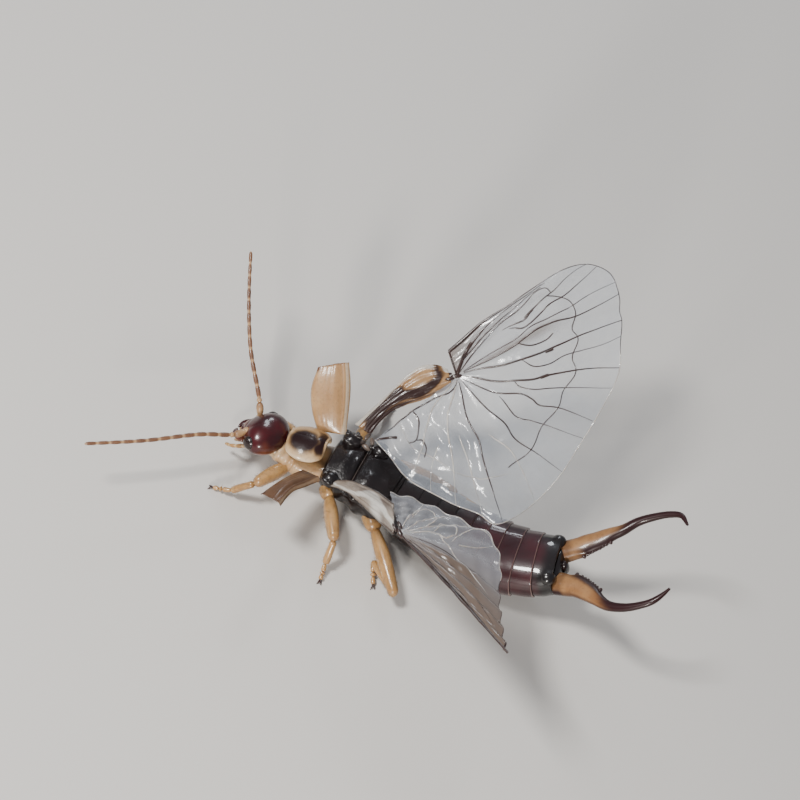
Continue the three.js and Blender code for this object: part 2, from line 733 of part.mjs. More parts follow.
// Closes two lattices of points, the same in rows and columns, into one body with matching triangles.
function sheetBetween(upper, lower) {
  const rows = upper.length;
  const columns = upper[0].length;
  const at = (face, row, column) => (face * rows + row) * columns + column;
  const triangles = [];
  for (let r = 0; r + 1 < rows; r += 1) {
    for (let c = 0; c + 1 < columns; c += 1) {
      const [a, b, d, e] = [at(0, r, c), at(0, r, c + 1), at(0, r + 1, c), at(0, r + 1, c + 1)];
      triangles.push([a, b, e], [a, e, d]);
      const [f, g, h, i] = [at(1, r, c), at(1, r, c + 1), at(1, r + 1, c), at(1, r + 1, c + 1)];
      triangles.push([g, f, i], [i, f, h]);
    }
  }
  const rim = [];
  for (let c = 0; c + 1 < columns; c += 1) {
    rim.push([0, c]);
  }
  for (let r = 0; r + 1 < rows; r += 1) {
    rim.push([r, columns - 1]);
  }
  for (let c = columns - 1; c > 0; c -= 1) {
    rim.push([rows - 1, c]);
  }
  for (let r = rows - 1; r > 0; r -= 1) {
    rim.push([r, 0]);
  }
  rim.forEach(([r, c], i) => {
    const [nextRow, nextColumn] = rim[(i + 1) % rim.length];
    const [a, b] = [at(0, r, c), at(0, nextRow, nextColumn)];
    const [f, g] = [at(1, r, c), at(1, nextRow, nextColumn)];
    triangles.push([b, a, f], [b, f, g]);
  });
  return closedGeometry([...upper.flat(), ...lower.flat()], triangles);
}

// Forceps: each branch is broad and toothed at its base, bows out and tapers to an inward tip
function forcepsBranch({ lengths, spreads, side }) {
  const path = new THREE.CatmullRomCurve3(
    lengths.map((x, i) => new THREE.Vector3(FORCEPS_START + x, side * spreads[i], 0)),
  );
  const rings = [];
  for (let i = 0; i <= FORCEPS_SHAPE.rings; i += 1) {
    const t = i / FORCEPS_SHAPE.rings;
    const half = lerpTable(FORCEPS_HALVES, t);
    const deep = half * FORCEPS_SHAPE.flatness;
    const frame = frameOf(path.getPointAt(t), path.getTangentAt(t));
    rings.push(section(frame, half, deep, deep, FORCEPS_SHAPE.sides));
  }
  const parts = [loft(rings)];
  for (let i = 0; i < TEETH.count; i += 1) {
    const t = TEETH.from + (TEETH.to - TEETH.from) * (i / (TEETH.count - 1));
    const inward = lerpTable(FORCEPS_HALVES, t) - TEETH.sunk;
    const root = path.getPointAt(t).add(new THREE.Vector3(0, -side * inward, 0));
    const tip = root.clone().add(new THREE.Vector3(0, -side * TEETH.reach, 0));
    parts.push(segment(root, tip, TEETH.half, PROFILES.tooth, { sides: TEETH.sides }));
  }
  return geometryOf(largest(joined(parts)));
}

// Grown by the clearance, for cutting their neighbours
const floorSlab = solidOf(
  closedFrom(new THREE.BoxGeometry(FLOOR_SIZE.side, FLOOR_SIZE.side, FLOOR_SIZE.depth))
    .translate(0, 0, -FLOOR_SIZE.depth / 2),
);
const headGrown = solidOf(headCapsule(HEAD_FRAME, GAP));
const pronotumGrown = pronotumPlate(GAP);
const neckGrown = neckBody(GAP);
const mesothoraxGrown = thoraxLength(MESOTHORAX, GAP);
const thoraxGrown = [mesothoraxGrown, thoraxLength(METATHORAX, GAP)];
const abdomenNodes = ['base', 'middle', 'end'];
const abdomenGrown = abdomenNodes.map((label, i) => abdomenLength(i * ABDOMEN.perNode, GAP));

// Build
const model = new THREE.Group();

const headGroup = turned(new THREE.Group(), HEAD.at, HEAD.turn);
const ownHeadGrown = solidOf(headCapsule(OWN_FRAME, GAP));
const eyesGrown = Object.values(SIDES).map((side) => solidOf(eyeShape(side, GAP)));
const head = parted(solidOf(headCapsule(OWN_FRAME)), eyesGrown);
headGroup.add(named('head', head, material(COLOURS.head, 0.2)));
for (const [label, side] of Object.entries(SIDES)) {
  headGroup.add(named(`eye_${label}`, eyeShape(side), material(COLOURS.eye, 0.1)));
  const [root, bend, tip] = PALP.path.map(([x, y, z]) => new THREE.Vector3(x, side * y, z));
  const palp = joined([
    segment(root, bend, PALP.half, PROFILES.palp),
    segment(bend, tip, PALP.half * PALP.taper, PROFILES.palp),
  ]);
  headGroup.add(named(`palp_${label}`, parted(palp, [ownHeadGrown]), material(COLOURS.palp)));
}
const mouth = segment(v3(MOUTH.root), v3(MOUTH.tip), MOUTH.half, PROFILES.mouth, MOUTH);
headGroup.add(named('mouth', parted(solidOf(mouth), [ownHeadGrown]), material(COLOURS.palp)));
model.add(headGroup);
for (const [label, points] of Object.entries(ANTENNAE)) {
  model.add(named(`antenna_${label}`, parted(antenna(points), [headGrown]), material(COLOURS.antenna)));
}

model.add(named('pronotum', parted(pronotumPlate(), [headGrown]), material(COLOURS.pronotum)));
model.add(named('prothorax', parted(neckBody(), [headGrown, pronotumGrown]), material(COLOURS.palp)));
const shell = material(COLOURS.thorax, 0.15);
model.add(named('mesothorax', geometryOf(thoraxLength(MESOTHORAX)), shell));
model.add(named('metathorax', parted(thoraxLength(METATHORAX), [mesothoraxGrown]), shell));
abdomenNodes.forEach((label, i) => {
  const solid = abdomenLength(i * ABDOMEN.perNode);
  model.add(named(`abdomen_${label}`, parted(solid, [floorSlab]), material(COLOURS.abdomen, 0.25)));
});

const body = [headGrown, neckGrown, pronotumGrown, ...thoraxGrown, ...abdomenGrown];
for (const [label, joints] of Object.entries(LEGS)) {
  model.add(named(`leg_${label}`, parted(leg(joints), [floorSlab, ...body]), material(COLOURS.leg)));
}

const tail = bodyFrame(ABDOMEN.from + ABDOMEN.tergites * ABDOMEN.tergite);
const forcepsGroup = turned(new THREE.Group(), tail.origin.toArray(), FORCEPS_TURN);
for (const [label, branch] of Object.entries(FORCEPS)) {
  forcepsGroup.add(named(`forceps_${label}`, forcepsBranch(branch), material(COLOURS.forceps, 0.2)));
}
model.add(forcepsGroup);

const carriers = [...thoraxGrown, neckGrown, pronotumGrown];
for (const [label, shape] of Object.entries(TEGMINA)) {
  model.add(named(`tegmen_${label}`, parted(plate(shape), carriers), material(COLOURS.tegmen)));
}
for (const [label, wing] of Object.entries(WINGS)) {
  const tegmenGrown = plate(TEGMINA[label], GAP);
  const around = [...thoraxGrown, tegmenGrown];
  const membrane = material(COLOURS.membrane, 0.2, { transparent: true, opacity: 0.6 });
  model.add(named(`wing_base_${label}`, parted(plate(wing.base), around), material(COLOURS.squama)));
  model.add(named(`wing_fan_${label}`, parted(fan(wing), [plate(wing.base, GAP), ...around]), membrane));
}

// The middle of the whole model's box stands over the origin
const bounds = new THREE.Box3().setFromObject(model, true);
const middle = bounds.getCenter(new THREE.Vector3());
model.position.set(-middle.x, -middle.y, -bounds.min.z);

export default model;
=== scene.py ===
"""A male earwig, life size, its wing cases and hind wings open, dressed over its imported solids.

Sizes are in millimetres of the animal's own frame: +X to the head, +Y to its left, +Z up,
with the thorax over the origin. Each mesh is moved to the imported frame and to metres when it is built.
"""

import logging
import math
from dataclasses import dataclass, field
from enum import Enum
from typing import Optional, Sequence, Union

import bpy
import numpy as np
from mathutils import Matrix

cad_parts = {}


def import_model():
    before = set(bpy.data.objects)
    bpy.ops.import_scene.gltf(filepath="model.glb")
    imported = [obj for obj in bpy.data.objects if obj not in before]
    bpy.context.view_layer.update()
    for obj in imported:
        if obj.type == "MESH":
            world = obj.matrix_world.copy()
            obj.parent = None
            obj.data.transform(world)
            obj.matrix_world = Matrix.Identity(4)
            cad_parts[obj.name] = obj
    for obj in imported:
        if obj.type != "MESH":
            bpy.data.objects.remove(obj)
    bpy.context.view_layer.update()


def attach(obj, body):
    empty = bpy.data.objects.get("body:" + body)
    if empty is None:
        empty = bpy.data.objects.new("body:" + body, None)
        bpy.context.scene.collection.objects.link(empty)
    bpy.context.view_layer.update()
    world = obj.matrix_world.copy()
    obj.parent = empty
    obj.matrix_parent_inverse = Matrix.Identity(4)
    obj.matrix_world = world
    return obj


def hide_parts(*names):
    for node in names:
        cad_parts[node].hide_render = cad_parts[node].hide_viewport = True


LOG = logging.getLogger("earwig")
MM = 0.001
SHIFT = np.array([1.0385, 1.3220, 0.0])
UP = np.array([0.0, 0.0, 1.0])
SIDES = (("left", 1), ("right", -1))
Points = np.ndarray
Place = tuple[float, float, float]
Knots = Sequence[Sequence[float]]
Ball = tuple[Place, Place]
Row = tuple[float, ...]
Colour = tuple[float, float, float]
Socket = bpy.types.NodeSocket
Sockets = bpy.types.NodeOutputs
Thing = bpy.types.Object


# Shapes in numbers


def unit(v: Points) -> Points:
    """The vectors of v at length one."""
    v = np.asarray(v, float)
    return v / np.maximum(np.linalg.norm(v, axis=-1, keepdims=True), 1e-12)


def smooth(low: float, high: float, x: Points) -> Points:
    """A soft step from 0 at low to 1 at high."""
    t = np.clip((np.asarray(x, float) - low) / (high - low), 0.0, 1.0)
    return t * t * (3.0 - 2.0 * t)


def bump(x: Points, centre: float, width: float) -> Points:
    """A soft hump of height one round a centre."""
    return np.exp(-(((np.asarray(x, float) - centre) / width) ** 2))


def table(values: Row, t: Points) -> Points:
    """Even values along 0 to 1, joined by a smooth curve.

    Args:
        values: The values, the first at 0 and the last at 1.
        t: Where to read them.

    Returns:
        The curve's value at each t.
    """
    v = np.asarray(values, float)
    v = np.concatenate([[2 * v[0] - v[1]], v, [2 * v[-1] - v[-2]]])
    k = np.clip(np.asarray(t, float), 0.0, 1.0) * (len(values) - 1)
    i = np.minimum(k.astype(int), len(values) - 2)
    s = k - i
    a, b, c, d = v[i], v[i + 1], v[i + 2], v[i + 3]
    m1, m2 = (c - a) / 2, (d - b) / 2
    return b + m1 * s + (3 * (c - b) - 2 * m1 - m2) * s**2 + (2 * (b - c) + m1 + m2) * s**3


class Path:
    """A smooth curve through a few knots, read by the distance along it."""

    SAMPLES = 30
    LOOK = 0.004

    def __init__(self, knots: Knots) -> None:
        """Samples the curve.

        Args:
            knots: The points that it runs through.
        """
        k = [np.asarray(p, float) for p in knots]
        k = [2 * k[0] - k[1]] + k + [2 * k[-1] - k[-2]]
        out: list[Points] = []
        for p0, p1, p2, p3 in zip(k, k[1:], k[2:], k[3:]):
            d0, d1, d2 = (max(np.linalg.norm(b - a) ** 0.5, 1e-4) for a, b in ((p0, p1), (p1, p2), (p2, p3)))
            t1 = ((p1 - p0) / d0 - (p2 - p0) / (d0 + d1) + (p2 - p1) / d1) * d1
            t2 = ((p2 - p1) / d1 - (p3 - p1) / (d1 + d2) + (p3 - p2) / d2) * d1
            square, cube = -3 * p1 + 3 * p2 - 2 * t1 - t2, 2 * p1 - 2 * p2 + t1 + t2
            out += [p1 + t1 * s + square * s**2 + cube * s**3 for s in np.arange(self.SAMPLES) / self.SAMPLES]
        self.samples = np.array([*out, k[-2]])
        self.reach = np.r_[0.0, np.cumsum(np.linalg.norm(np.diff(self.samples, axis=0), axis=1))]
        self.length = float(self.reach[-1])

    def inside(self, distance: Points) -> Points:
        """The points at these distances, kept between the ends."""
        d = np.clip(distance, 0.0, self.length)
        return np.stack([np.interp(d, self.reach, self.samples[:, k]) for k in range(3)], 1)

    def tangent(self, distance: Points) -> Points:
        """The curve's directions at these distances."""
        d = np.atleast_1d(np.asarray(distance, float))
        return unit(self.inside(d + self.length * self.LOOK) - self.inside(d - self.length * self.LOOK))

    def at(self, distance: Points) -> Points:
        """The points at these distances, straight on past either end.

        Args:
            distance: The distances from the first knot.

        Returns:
            The points.
        """
        d = np.atleast_1d(np.asarray(distance, float))
        past = d - np.clip(d, 0.0, self.length)
        return self.inside(d) + self.tangent(d - past) * past[:, None]

    def share(self, t: Points) -> Points:
        """The points at these shares of the whole length."""
        return self.at(np.asarray(t, float) * self.length)


@dataclass(frozen=True)
class Frame:
    """An origin with its forward, left and up directions."""

    origin: Points
    x: Points
    y: Points
    z: Points

    @classmethod
    def level(cls, at: Sequence[float]) -> "Frame":
        """A frame at a point, along the animal's own directions."""
        return cls(np.asarray(at, float), *np.eye(3))

    @classmethod
    def turned(cls, at: Sequence[float], yaw: float, pitch: float, roll: float) -> "Frame":
        """A frame at a point, turned by degrees about z, then y, then x."""
        z, y, x = (Matrix.Rotation(math.radians(v), 3, k) for v, k in ((yaw, "Z"), (pitch, "Y"), (roll, "X")))
        return cls(np.asarray(at, float), *np.array(z @ y @ x).T)

    def place(self, local: Points) -> Points:
        """Points given in this frame, in the animal's frame."""
        p = np.asarray(local, float)
        return self.origin + p[..., :1] * self.x + p[..., 1:2] * self.y + p[..., 2:3] * self.z


def sides_of(path: Path, distance: Points, up: Points = UP) -> tuple[Points, Points]:
    """The left and up directions along a path.

    Args:
        path: The path.
        distance: Where along it.
        up: The direction that the up direction stays nearest to.

    Returns:
        The left directions and the up directions.
    """
    tangent = path.tangent(distance)
    left = unit(np.cross(np.broadcast_to(up, tangent.shape), tangent))
    return left, np.cross(tangent, left)


def offsets(path: Path, distance: Points, rings: Points, up: Points = UP) -> tuple[Points, ...]:
    """How far the points of rings lie to the left of a path and above it.

    Args:
        path: The path.
        distance: The rings' distances along it.
        rings: The rings.
        up: The direction that each ring's top keeps to.

    Returns:
        The left directions, the up directions, the distances to the left and the distances up.
    """
    left, top = sides_of(path, distance, up)
    rel = rings - path.at(distance)[:, None]
    return left, top, np.einsum("ijk,ik->ij", rel, left), np.einsum("ijk,ik->ij", rel, top)


def angles(sides: int) -> Points:
    """Even angles round a ring."""
    return 2 * np.pi * (np.arange(sides) + 0.5) / sides


def squared(a: Points, power: float) -> tuple[Points, Points]:
    """The cosine and sine of angles on a ring that is rounder at power 2 and squarer above it."""
    c, s = np.cos(a), np.sin(a)
    return np.sign(c) * np.abs(c) ** (2 / power), np.sign(s) * np.abs(s) ** (2 / power)


def tube_rings(path: Path, distance: Points, half: Points, deep: Points, sides: int = 16,
               down: Optional[Points] = None, power: float = 2.0, up: Points = UP) -> Points:
    """Rings of points along a path.

    Args:
        path: The middle line.
        distance: The rings' distances along it.
        half: The half width of each ring.
        deep: The half height of each ring above the line.
        sides: How many points each ring has.
        down: The half height below the line, or deep.
        power: 2 for an ellipse and more for a squarer ring.
        up: The direction that each ring's top keeps to.

    Returns:
        The rings, as an array of ring, side and coordinate.
    """
    left, top = sides_of(path, distance, up)
    c, s = squared(angles(sides), power)
    below = deep if down is None else down
    rise = np.where(s > 0, deep[:, None], below[:, None]) * s
    wide = half[:, None] * c
    return path.at(distance)[:, None] + wide[..., None] * left[:, None] + rise[..., None] * top[:, None]


def ellipsoid(frame: Frame, centre: Sequence[float], halves: Sequence[float], rings: int) -> Points:
    """The rings of an ellipsoid, twice as many sides as rings.

    Args:
        frame: The frame that it stands in.
        centre: Its middle in that frame.
        halves: Its half sizes along the frame's directions.
        rings: How many rings it has.

    Returns:
        The rings.
    """
    t = np.linspace(0.06, np.pi - 0.06, rings)[:, None]
    a = angles(2 * rings)[None]
    round_it = np.stack([np.cos(t) * np.ones_like(a), np.sin(t) * np.cos(a), np.sin(t) * np.sin(a)], -1)
    return frame.place(np.asarray(centre, float) + np.asarray(halves, float) * round_it)


def normals(grid: Points) -> Points:
    """The directions out of a grid of points."""
    return unit(np.cross(np.gradient(grid, axis=0), np.gradient(grid, axis=1)))


def linked(name: str, data: bpy.types.ID) -> Thing:
    """Makes an object and puts it in the scene.

    Args:
        name: The object's name.
        data: Its mesh, camera or light.

    Returns:
        The object.
    """
    thing = bpy.data.objects.new(name, data)
    bpy.context.scene.collection.objects.link(thing)
    return thing


class Draft:
    """The points, faces, marks and finishes of a piece, before it becomes an object."""

    def __init__(self) -> None:
        """Starts empty."""
        self.points: list[Points] = []
        self.faces: list[list[int]] = []
        self.finish: list[int] = []
        self.marks: dict[str, list[Points]] = {}
        self.count = 0

    def add(self, points: Points, faces: list[list[int]], finish: int = 0, **marks: Points) -> None:
        """Adds one closed part, and turns it outward.

        Args:
            points: Its points.
            faces: Its faces, as lists of point numbers.
            finish: The number of its material.
            **marks: A value for each point, by the mark's name.
        """
        p = np.asarray(points, float)
        fans = np.array([(f[0], f[i], f[i + 1]) for f in faces for i in range(1, len(f) - 1)])
        a, b, c = (p[fans[:, i]] for i in range(3))
        step = -1 if np.einsum("ij,ij->", a, np.cross(b, c)) < 0 else 1
        self.faces += [[self.count + i for i in f[::step]] for f in faces]
        self.finish += [finish] * len(faces)
        self.points.append(p)
        for name in set(self.marks) | set(marks):
            held = self.marks.setdefault(name, [np.zeros(self.count)] if self.count else [])
            held.append(np.asarray(marks.get(name, np.zeros(len(p))), float).reshape(-1))
        self.count += len(p)

    def loft(self, rings: Points, finish: int = 0, **marks: Union[float, Points]) -> None:
        """Adds a skin over rings of points, closed at both ends.

        Args:
            rings: An array of ring, side and coordinate.
            finish: The number of its material.
            **marks: A value, or one for each ring and side, by the mark's name.
        """
        n, m = rings.shape[:2]
        ring = [(j, (j + 1) % m) for j in range(m)]
        faces = [[i + j, i + k, i + m + k, i + m + j] for i in range(0, (n - 1) * m, m) for j, k in ring]
        faces += [[k, j, n * m] for j, k in ring]
        faces += [[(n - 1) * m + j, (n - 1) * m + k, n * m + 1] for j, k in ring]
        points = np.vstack([rings.reshape(-1, 3), rings[0].mean(0), rings[-1].mean(0)])
        full = {name: np.broadcast_to(v, (n, m)) for name, v in marks.items()}
        full = {name: np.r_[v.reshape(-1), v[0].mean(), v[-1].mean()] for name, v in full.items()}
        self.add(points, faces, finish, **full)

    def ball(self, frame: Frame, centre: Sequence[float], halves: Sequence[float], rings: int,
             finish: int = 0, **marks: float) -> None:
        """Adds an ellipsoid.

        Args:
            frame: The frame that it stands in.
            centre: Its middle in that frame.
            halves: Its half sizes along the frame's directions.
            rings: How many rings it has.
            finish: The number of its material.
            **marks: One value for each mark, by name.
        """
        self.loft(ellipsoid(frame, centre, halves, rings), finish, **marks)

    def sheet(self, middle: Points, thick: Points, **marks: Points) -> None:
        """Adds a thin closed plate over a grid of its middle surface.

        Args:
            middle: An array of row, column and coordinate.
            thick: The thickness, one value or one for each grid point.
            **marks: A value for each grid point, by the mark's name.
        """
        n, m = middle.shape[:2]
        lift = normals(middle) * np.broadcast_to(thick, (n, m))[..., None] / 2
        faces = []
        for i in range(n - 1):
            for j in range(m - 1):
                a, b, c, d = i * m + j, i * m + j + 1, (i + 1) * m + j + 1, (i + 1) * m + j
                faces += [[a, b, c, d], [n * m + d, n * m + c, n * m + b, n * m + a]]
        border = [*range(m)] + [i * m + m - 1 for i in range(1, n)]
        border += [(n - 1) * m + j for j in range(m - 2, -1, -1)] + [i * m for i in range(n - 2, 0, -1)]
        faces += [[b, a, n * m + a, n * m + b] for a, b in zip(border, border[1:] + border[:1])]
        full = {k: np.tile(np.broadcast_to(v, (n, m)).reshape(-1), 2) for k, v in marks.items()}
        self.add(np.vstack([(middle + lift).reshape(-1, 3), (middle - lift).reshape(-1, 3)]), faces, **full)

    def piece(self, name: str, *finishes: "Finish") -> Thing:
        """Makes the object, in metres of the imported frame.

        Args:
            name: The object's name.
            *finishes: Its finishes, in the order that the parts number them.

        Returns:
            The linked object.
        """
        mesh = bpy.data.meshes.new(name)
        mesh.from_pydata(((np.vstack(self.points) + SHIFT) * MM).tolist(), [], self.faces)
        for finish in finishes:
            mesh.materials.append(finish.material())
        mesh.polygons.foreach_set("material_index", np.array(self.finish, np.int32))
        for key, values in self.marks.items():
            mark = mesh.attributes.new(key, "FLOAT", "POINT")
            mark.data.foreach_set("value", np.concatenate(values).astype(np.float32))
        mesh.polygons.foreach_set("use_smooth", np.ones(len(mesh.polygons), bool))
        mesh.update()
        return linked(name, mesh)


# Finishes


class Tree:
    """Adds nodes to a node tree and links them."""

    def __init__(self, tree: bpy.types.NodeTree) -> None:
        """Holds the tree."""
        self.tree = tree

    def feed(self, node: bpy.types.Node, inputs: dict) -> None:
        """Links sockets to a node's inputs, or sets their values.

        Args:
            node: The node.
            inputs: Values or sockets, by the input's name or number.
        """
        for key, value in inputs.items():
            if isinstance(value, Socket):
                self.tree.links.new(value, node.inputs[key])
            else:
                node.inputs[key].default_value = value

    def node(self, kind: str, inputs: Optional[dict] = None, **settings: object) -> bpy.types.Node:
        """Adds a node.

        Args:
            kind: The node's type name.
            inputs: Values or sockets for its inputs, by name or number.
            **settings: The node's own settings.

        Returns:
            The node.
        """
        made = self.tree.nodes.new(kind)
        for key, value in settings.items():
            setattr(made, key, value)
        self.feed(made, inputs or {})
        return made

    def first(self, kind: str, inputs: Optional[dict] = None, **settings: object) -> Socket:
        """The first output of a new node, which is made as node makes it."""
        return self.node(kind, inputs, **settings).outputs[0]

    def math(self, operation: str, *values: object) -> Socket:
        """A Math node's result."""
        return self.first("ShaderNodeMath", dict(enumerate(values)), operation=operation)

    def blend(self, share: object, first: object, second: object) -> Socket:
        """A colour between first and second, by share."""
        tones = {k: (*v, 1.0) if isinstance(v, tuple) else v for k, v in ((6, first), (7, second))}
        return self.node("ShaderNodeMix", {0: share, **tones}, data_type="RGBA").outputs[2]

    def mark(self, name: str) -> Socket:
        """The value of one of the piece's marks."""
        return self.node("ShaderNodeAttribute", attribute_name=name).outputs["Fac"]

    def ramp(self, value: object, low: float, high: float) -> Socket:
        """A soft 0 to 1 between low and high."""
        return self.first("ShaderNodeMapRange", {0: value, 1: low, 2: high}, interpolation_type="SMOOTHSTEP")

    def noise(self, vector: object, scale: object, detail: float, distortion: float = 0.0) -> Socket:
        """The value of a noise."""
        inputs = {"Vector": vector, "Scale": scale, "Detail": detail, "Distortion": distortion}
        return self.first("ShaderNodeTexNoise", inputs)

    def cells(self, vector: object, scale: object, feature: str = "F1") -> Socket:
        """The distances in a pattern of cells."""
        inputs = {"Vector": vector, "Scale": scale}
        return self.node("ShaderNodeTexVoronoi", inputs, feature=feature).outputs["Distance"]


def cuticle_grain(t: Tree, given: Sockets) -> dict[str, Socket]:
    """The fine net and the scattered pits of insect shell.

    Args:
        t: The group's tree.
        given: Its inputs.

    Returns:
        The relief's height and the unevenness of the gloss.
    """
    net = t.ramp(t.cells(given["Vector"], given["Net Scale"], "DISTANCE_TO_EDGE"), 0.0, 0.16)
    pits = t.ramp(t.cells(given["Vector"], given["Pit Scale"]), 0.28, 0.05)
    height = t.math("SUBTRACT", t.math("MULTIPLY", net, 0.22), t.math("MULTIPLY", pits, given["Pit Depth"]))
    return {"Height": height, "Wear": t.noise(given["Vector"], 2.6, 5.0)}


def mottling(t: Tree, given: Sockets) -> dict[str, Socket]:
    """Clouds and small flecks of darker and paler tone."""
    cloud = t.ramp(t.noise(given["Vector"], given["Cloud Scale"], 4.0), 0.35, 0.68)
    return {"Cloud": cloud, "Fleck": t.ramp(t.noise(given["Vector"], given["Fleck Scale"], 2.0), 0.52, 0.7)}


class Pattern(Enum):
    """The shader groups that several materials use: name, value inputs, outputs and what fills them."""

    GRAIN = (
        "cuticle_grain", {"Net Scale": 22.0, "Pit Scale": 5.0, "Pit Depth": 0.5}, ("Height", "Wear"),
        cuticle_grain,
    )
    MOTTLING = ("mottling", {"Cloud Scale": 1.2, "Fleck Scale": 9.0}, ("Cloud", "Fleck"), mottling)

    def group(self) -> bpy.types.NodeTree:
        """Builds the group, or gives the one built before.

        Returns:
            The group.
        """
        name, inputs, outputs, fill = self.value
        if name in bpy.data.node_groups:
            return bpy.data.node_groups[name]
        group = bpy.data.node_groups.new(name, "ShaderNodeTree")
        group.interface.new_socket("Vector", in_out="INPUT", socket_type="NodeSocketVector")
        for key, value in inputs.items():
            socket = group.interface.new_socket(key, in_out="INPUT", socket_type="NodeSocketFloat")
            socket.default_value = value
        for key in outputs:
            group.interface.new_socket(key, in_out="OUTPUT", socket_type="NodeSocketFloat")
        t = Tree(group)
        t.node("NodeGroupOutput", fill(t, t.node("NodeGroupInput").outputs))
        return group


@dataclass(frozen=True)
class Finish:
    """A finish by its name, dressed in full by the kinds of finish below."""

    name: str

    def dress(self, t: Tree, local: Socket, clouds: Sockets) -> dict[str, object]:
        """What goes into the shader's inputs.

        Args:
            t: The material's tree.
            local: The place on the piece, in millimetres.
            clouds: The outputs of the mottling.

        Returns:
            Values or sockets, by the input's name.
        """
        raise NotImplementedError

    def material(self) -> bpy.types.Material:
        """Builds the material, or gives the one built before.

        Returns:
            The material.
        """
        if self.name in bpy.data.materials:
            return bpy.data.materials[self.name]
        made = bpy.data.materials.new(self.name)
        made.use_nodes = True
        t = Tree(made.node_tree)
        place = t.node("ShaderNodeTexCoord").outputs["Object"]
        local = t.first("ShaderNodeMapping", {"Vector": place, "Scale": (1 / MM,) * 3})
        clouds = t.node("ShaderNodeGroup", {"Vector": local}, node_tree=Pattern.MOTTLING.group()).outputs
        t.feed(made.node_tree.nodes["Principled BSDF"], self.dress(t, local, clouds))
        return made


@dataclass(frozen=True)
class Cuticle(Finish):
    """A shell, skin or horn: a main tone, clouds of a second one, and more tones where marks say so."""

    main: Colour
    cloud: Colour
    marked: Colour
    mark: str = "pale"
    mark_from: float = 0.2
    mark_to: float = 0.8
    second: Optional[Colour] = None
    second_mark: str = "dark"
    roughness: float = 0.3
    rough_spread: float = 0.18
    coat: float = 0.5
    coat_rough: float = 0.08
    specular: float = 0.5
    index: float = 1.55
    net: float = 22.0
    pits: float = 5.0
    pit_depth: float = 0.5
    relief: float = 0.25
    relief_depth: float = 0.02 * MM
    soft: float = 0.0
    soft_depth: float = 0.12 * MM
    clear: float = 0.0
    fleck: Colour = (0.02, 0.012, 0.01)

    def dress(self, t: Tree, local: Socket, clouds: Sockets) -> dict[str, object]:
        """What goes into the shader's inputs: tones, gloss and the fine relief.

        Args:
            t: The material's tree.
            local: The place on the piece, in millimetres.
            clouds: The outputs of the mottling.

        Returns:
            Values or sockets, by the input's name.
        """
        sizes = {"Vector": local, "Net Scale": self.net, "Pit Scale": self.pits, "Pit Depth": self.pit_depth}
        grain = t.node("ShaderNodeGroup", sizes, node_tree=Pattern.GRAIN.group()).outputs
        share = t.ramp(t.mark(self.mark), self.mark_from, self.mark_to)
        colour = t.blend(share, t.blend(clouds["Cloud"], self.main, self.cloud), self.marked)
        if self.second is not None:
            colour = t.blend(t.mark(self.second_mark), colour, self.second)
        dull = t.math("MULTIPLY", clouds["Fleck"], 0.35)
        least = self.roughness - self.rough_spread / 2
        bumps = {"Strength": self.relief, "Distance": self.relief_depth, "Height": grain["Height"]}
        worn = {
            "Base Color": t.blend(dull, colour, t.blend(0.5, colour, self.fleck)),
            "Roughness": t.math("MULTIPLY_ADD", grain["Wear"], self.rough_spread, least),
            "Normal": t.first("ShaderNodeBump", bumps),
            "Coat Weight": self.coat, "Coat Roughness": self.coat_rough,
            "Specular IOR Level": self.specular, "IOR": self.index,
        }
        if self.clear:
            worn["Alpha"] = t.math("MULTIPLY_ADD", share, -self.clear, 1.0)
        if self.soft:
            worn["Subsurface Weight"], worn["Subsurface Scale"] = self.soft, self.soft_depth
            worn["Subsurface Radius"] = (1.0, 0.55, 0.3)
        return worn


@dataclass(frozen=True)
class Membrane(Finish):
    """A clear wing skin: a faint tint that thickens where a mark says so, glossy, with fine creases."""

    tint: Colour
    smoke: Colour
    least: float
    most: float
    crease: float
    gloss: float
    cells: float = 2.2
    ripples: float = 2.4
    crease_depth: float = 0.08 * MM
    index: float = 1.6

    def dress(self, t: Tree, local: Socket, clouds: Sockets) -> dict[str, object]:
        """What goes into the shader's inputs: the tint, how clear it is and the creases.

        Args:
            t: The material's tree.
            local: The place on the piece, in millimetres.
            clouds: The outputs of the mottling.

        Returns:
            Values or sockets, by the input's name.
        """
        ripples = t.noise(local, self.ripples, 3.0, 0.3)
        height = t.math("MULTIPLY_ADD", t.cells(local, self.cells), 0.8, ripples)
        depth = t.math("MULTIPLY", t.mark("fold"), self.crease)
        smoke = t.mark("smoke")
        facing = t.node("ShaderNodeLayerWeight", {"Blend": 0.35}).outputs["Facing"]
        body = t.math("MULTIPLY_ADD", smoke, self.most - self.least, self.least)
        body = t.math("MULTIPLY_ADD", clouds["Cloud"], 0.06, body)
        return {
            "Base Color": t.blend(smoke, self.tint, self.smoke),
            "Alpha": t.math("MULTIPLY_ADD", facing, 0.22, body),
            "Normal": t.first(
                "ShaderNodeBump", {"Strength": depth, "Distance": self.crease_depth, "Height": height}
            ),
            "Roughness": 0.16, "Specular IOR Level": 0.9 * self.gloss, "IOR": self.index,
            "Coat Weight": self.gloss, "Coat Roughness": 0.05,
        }


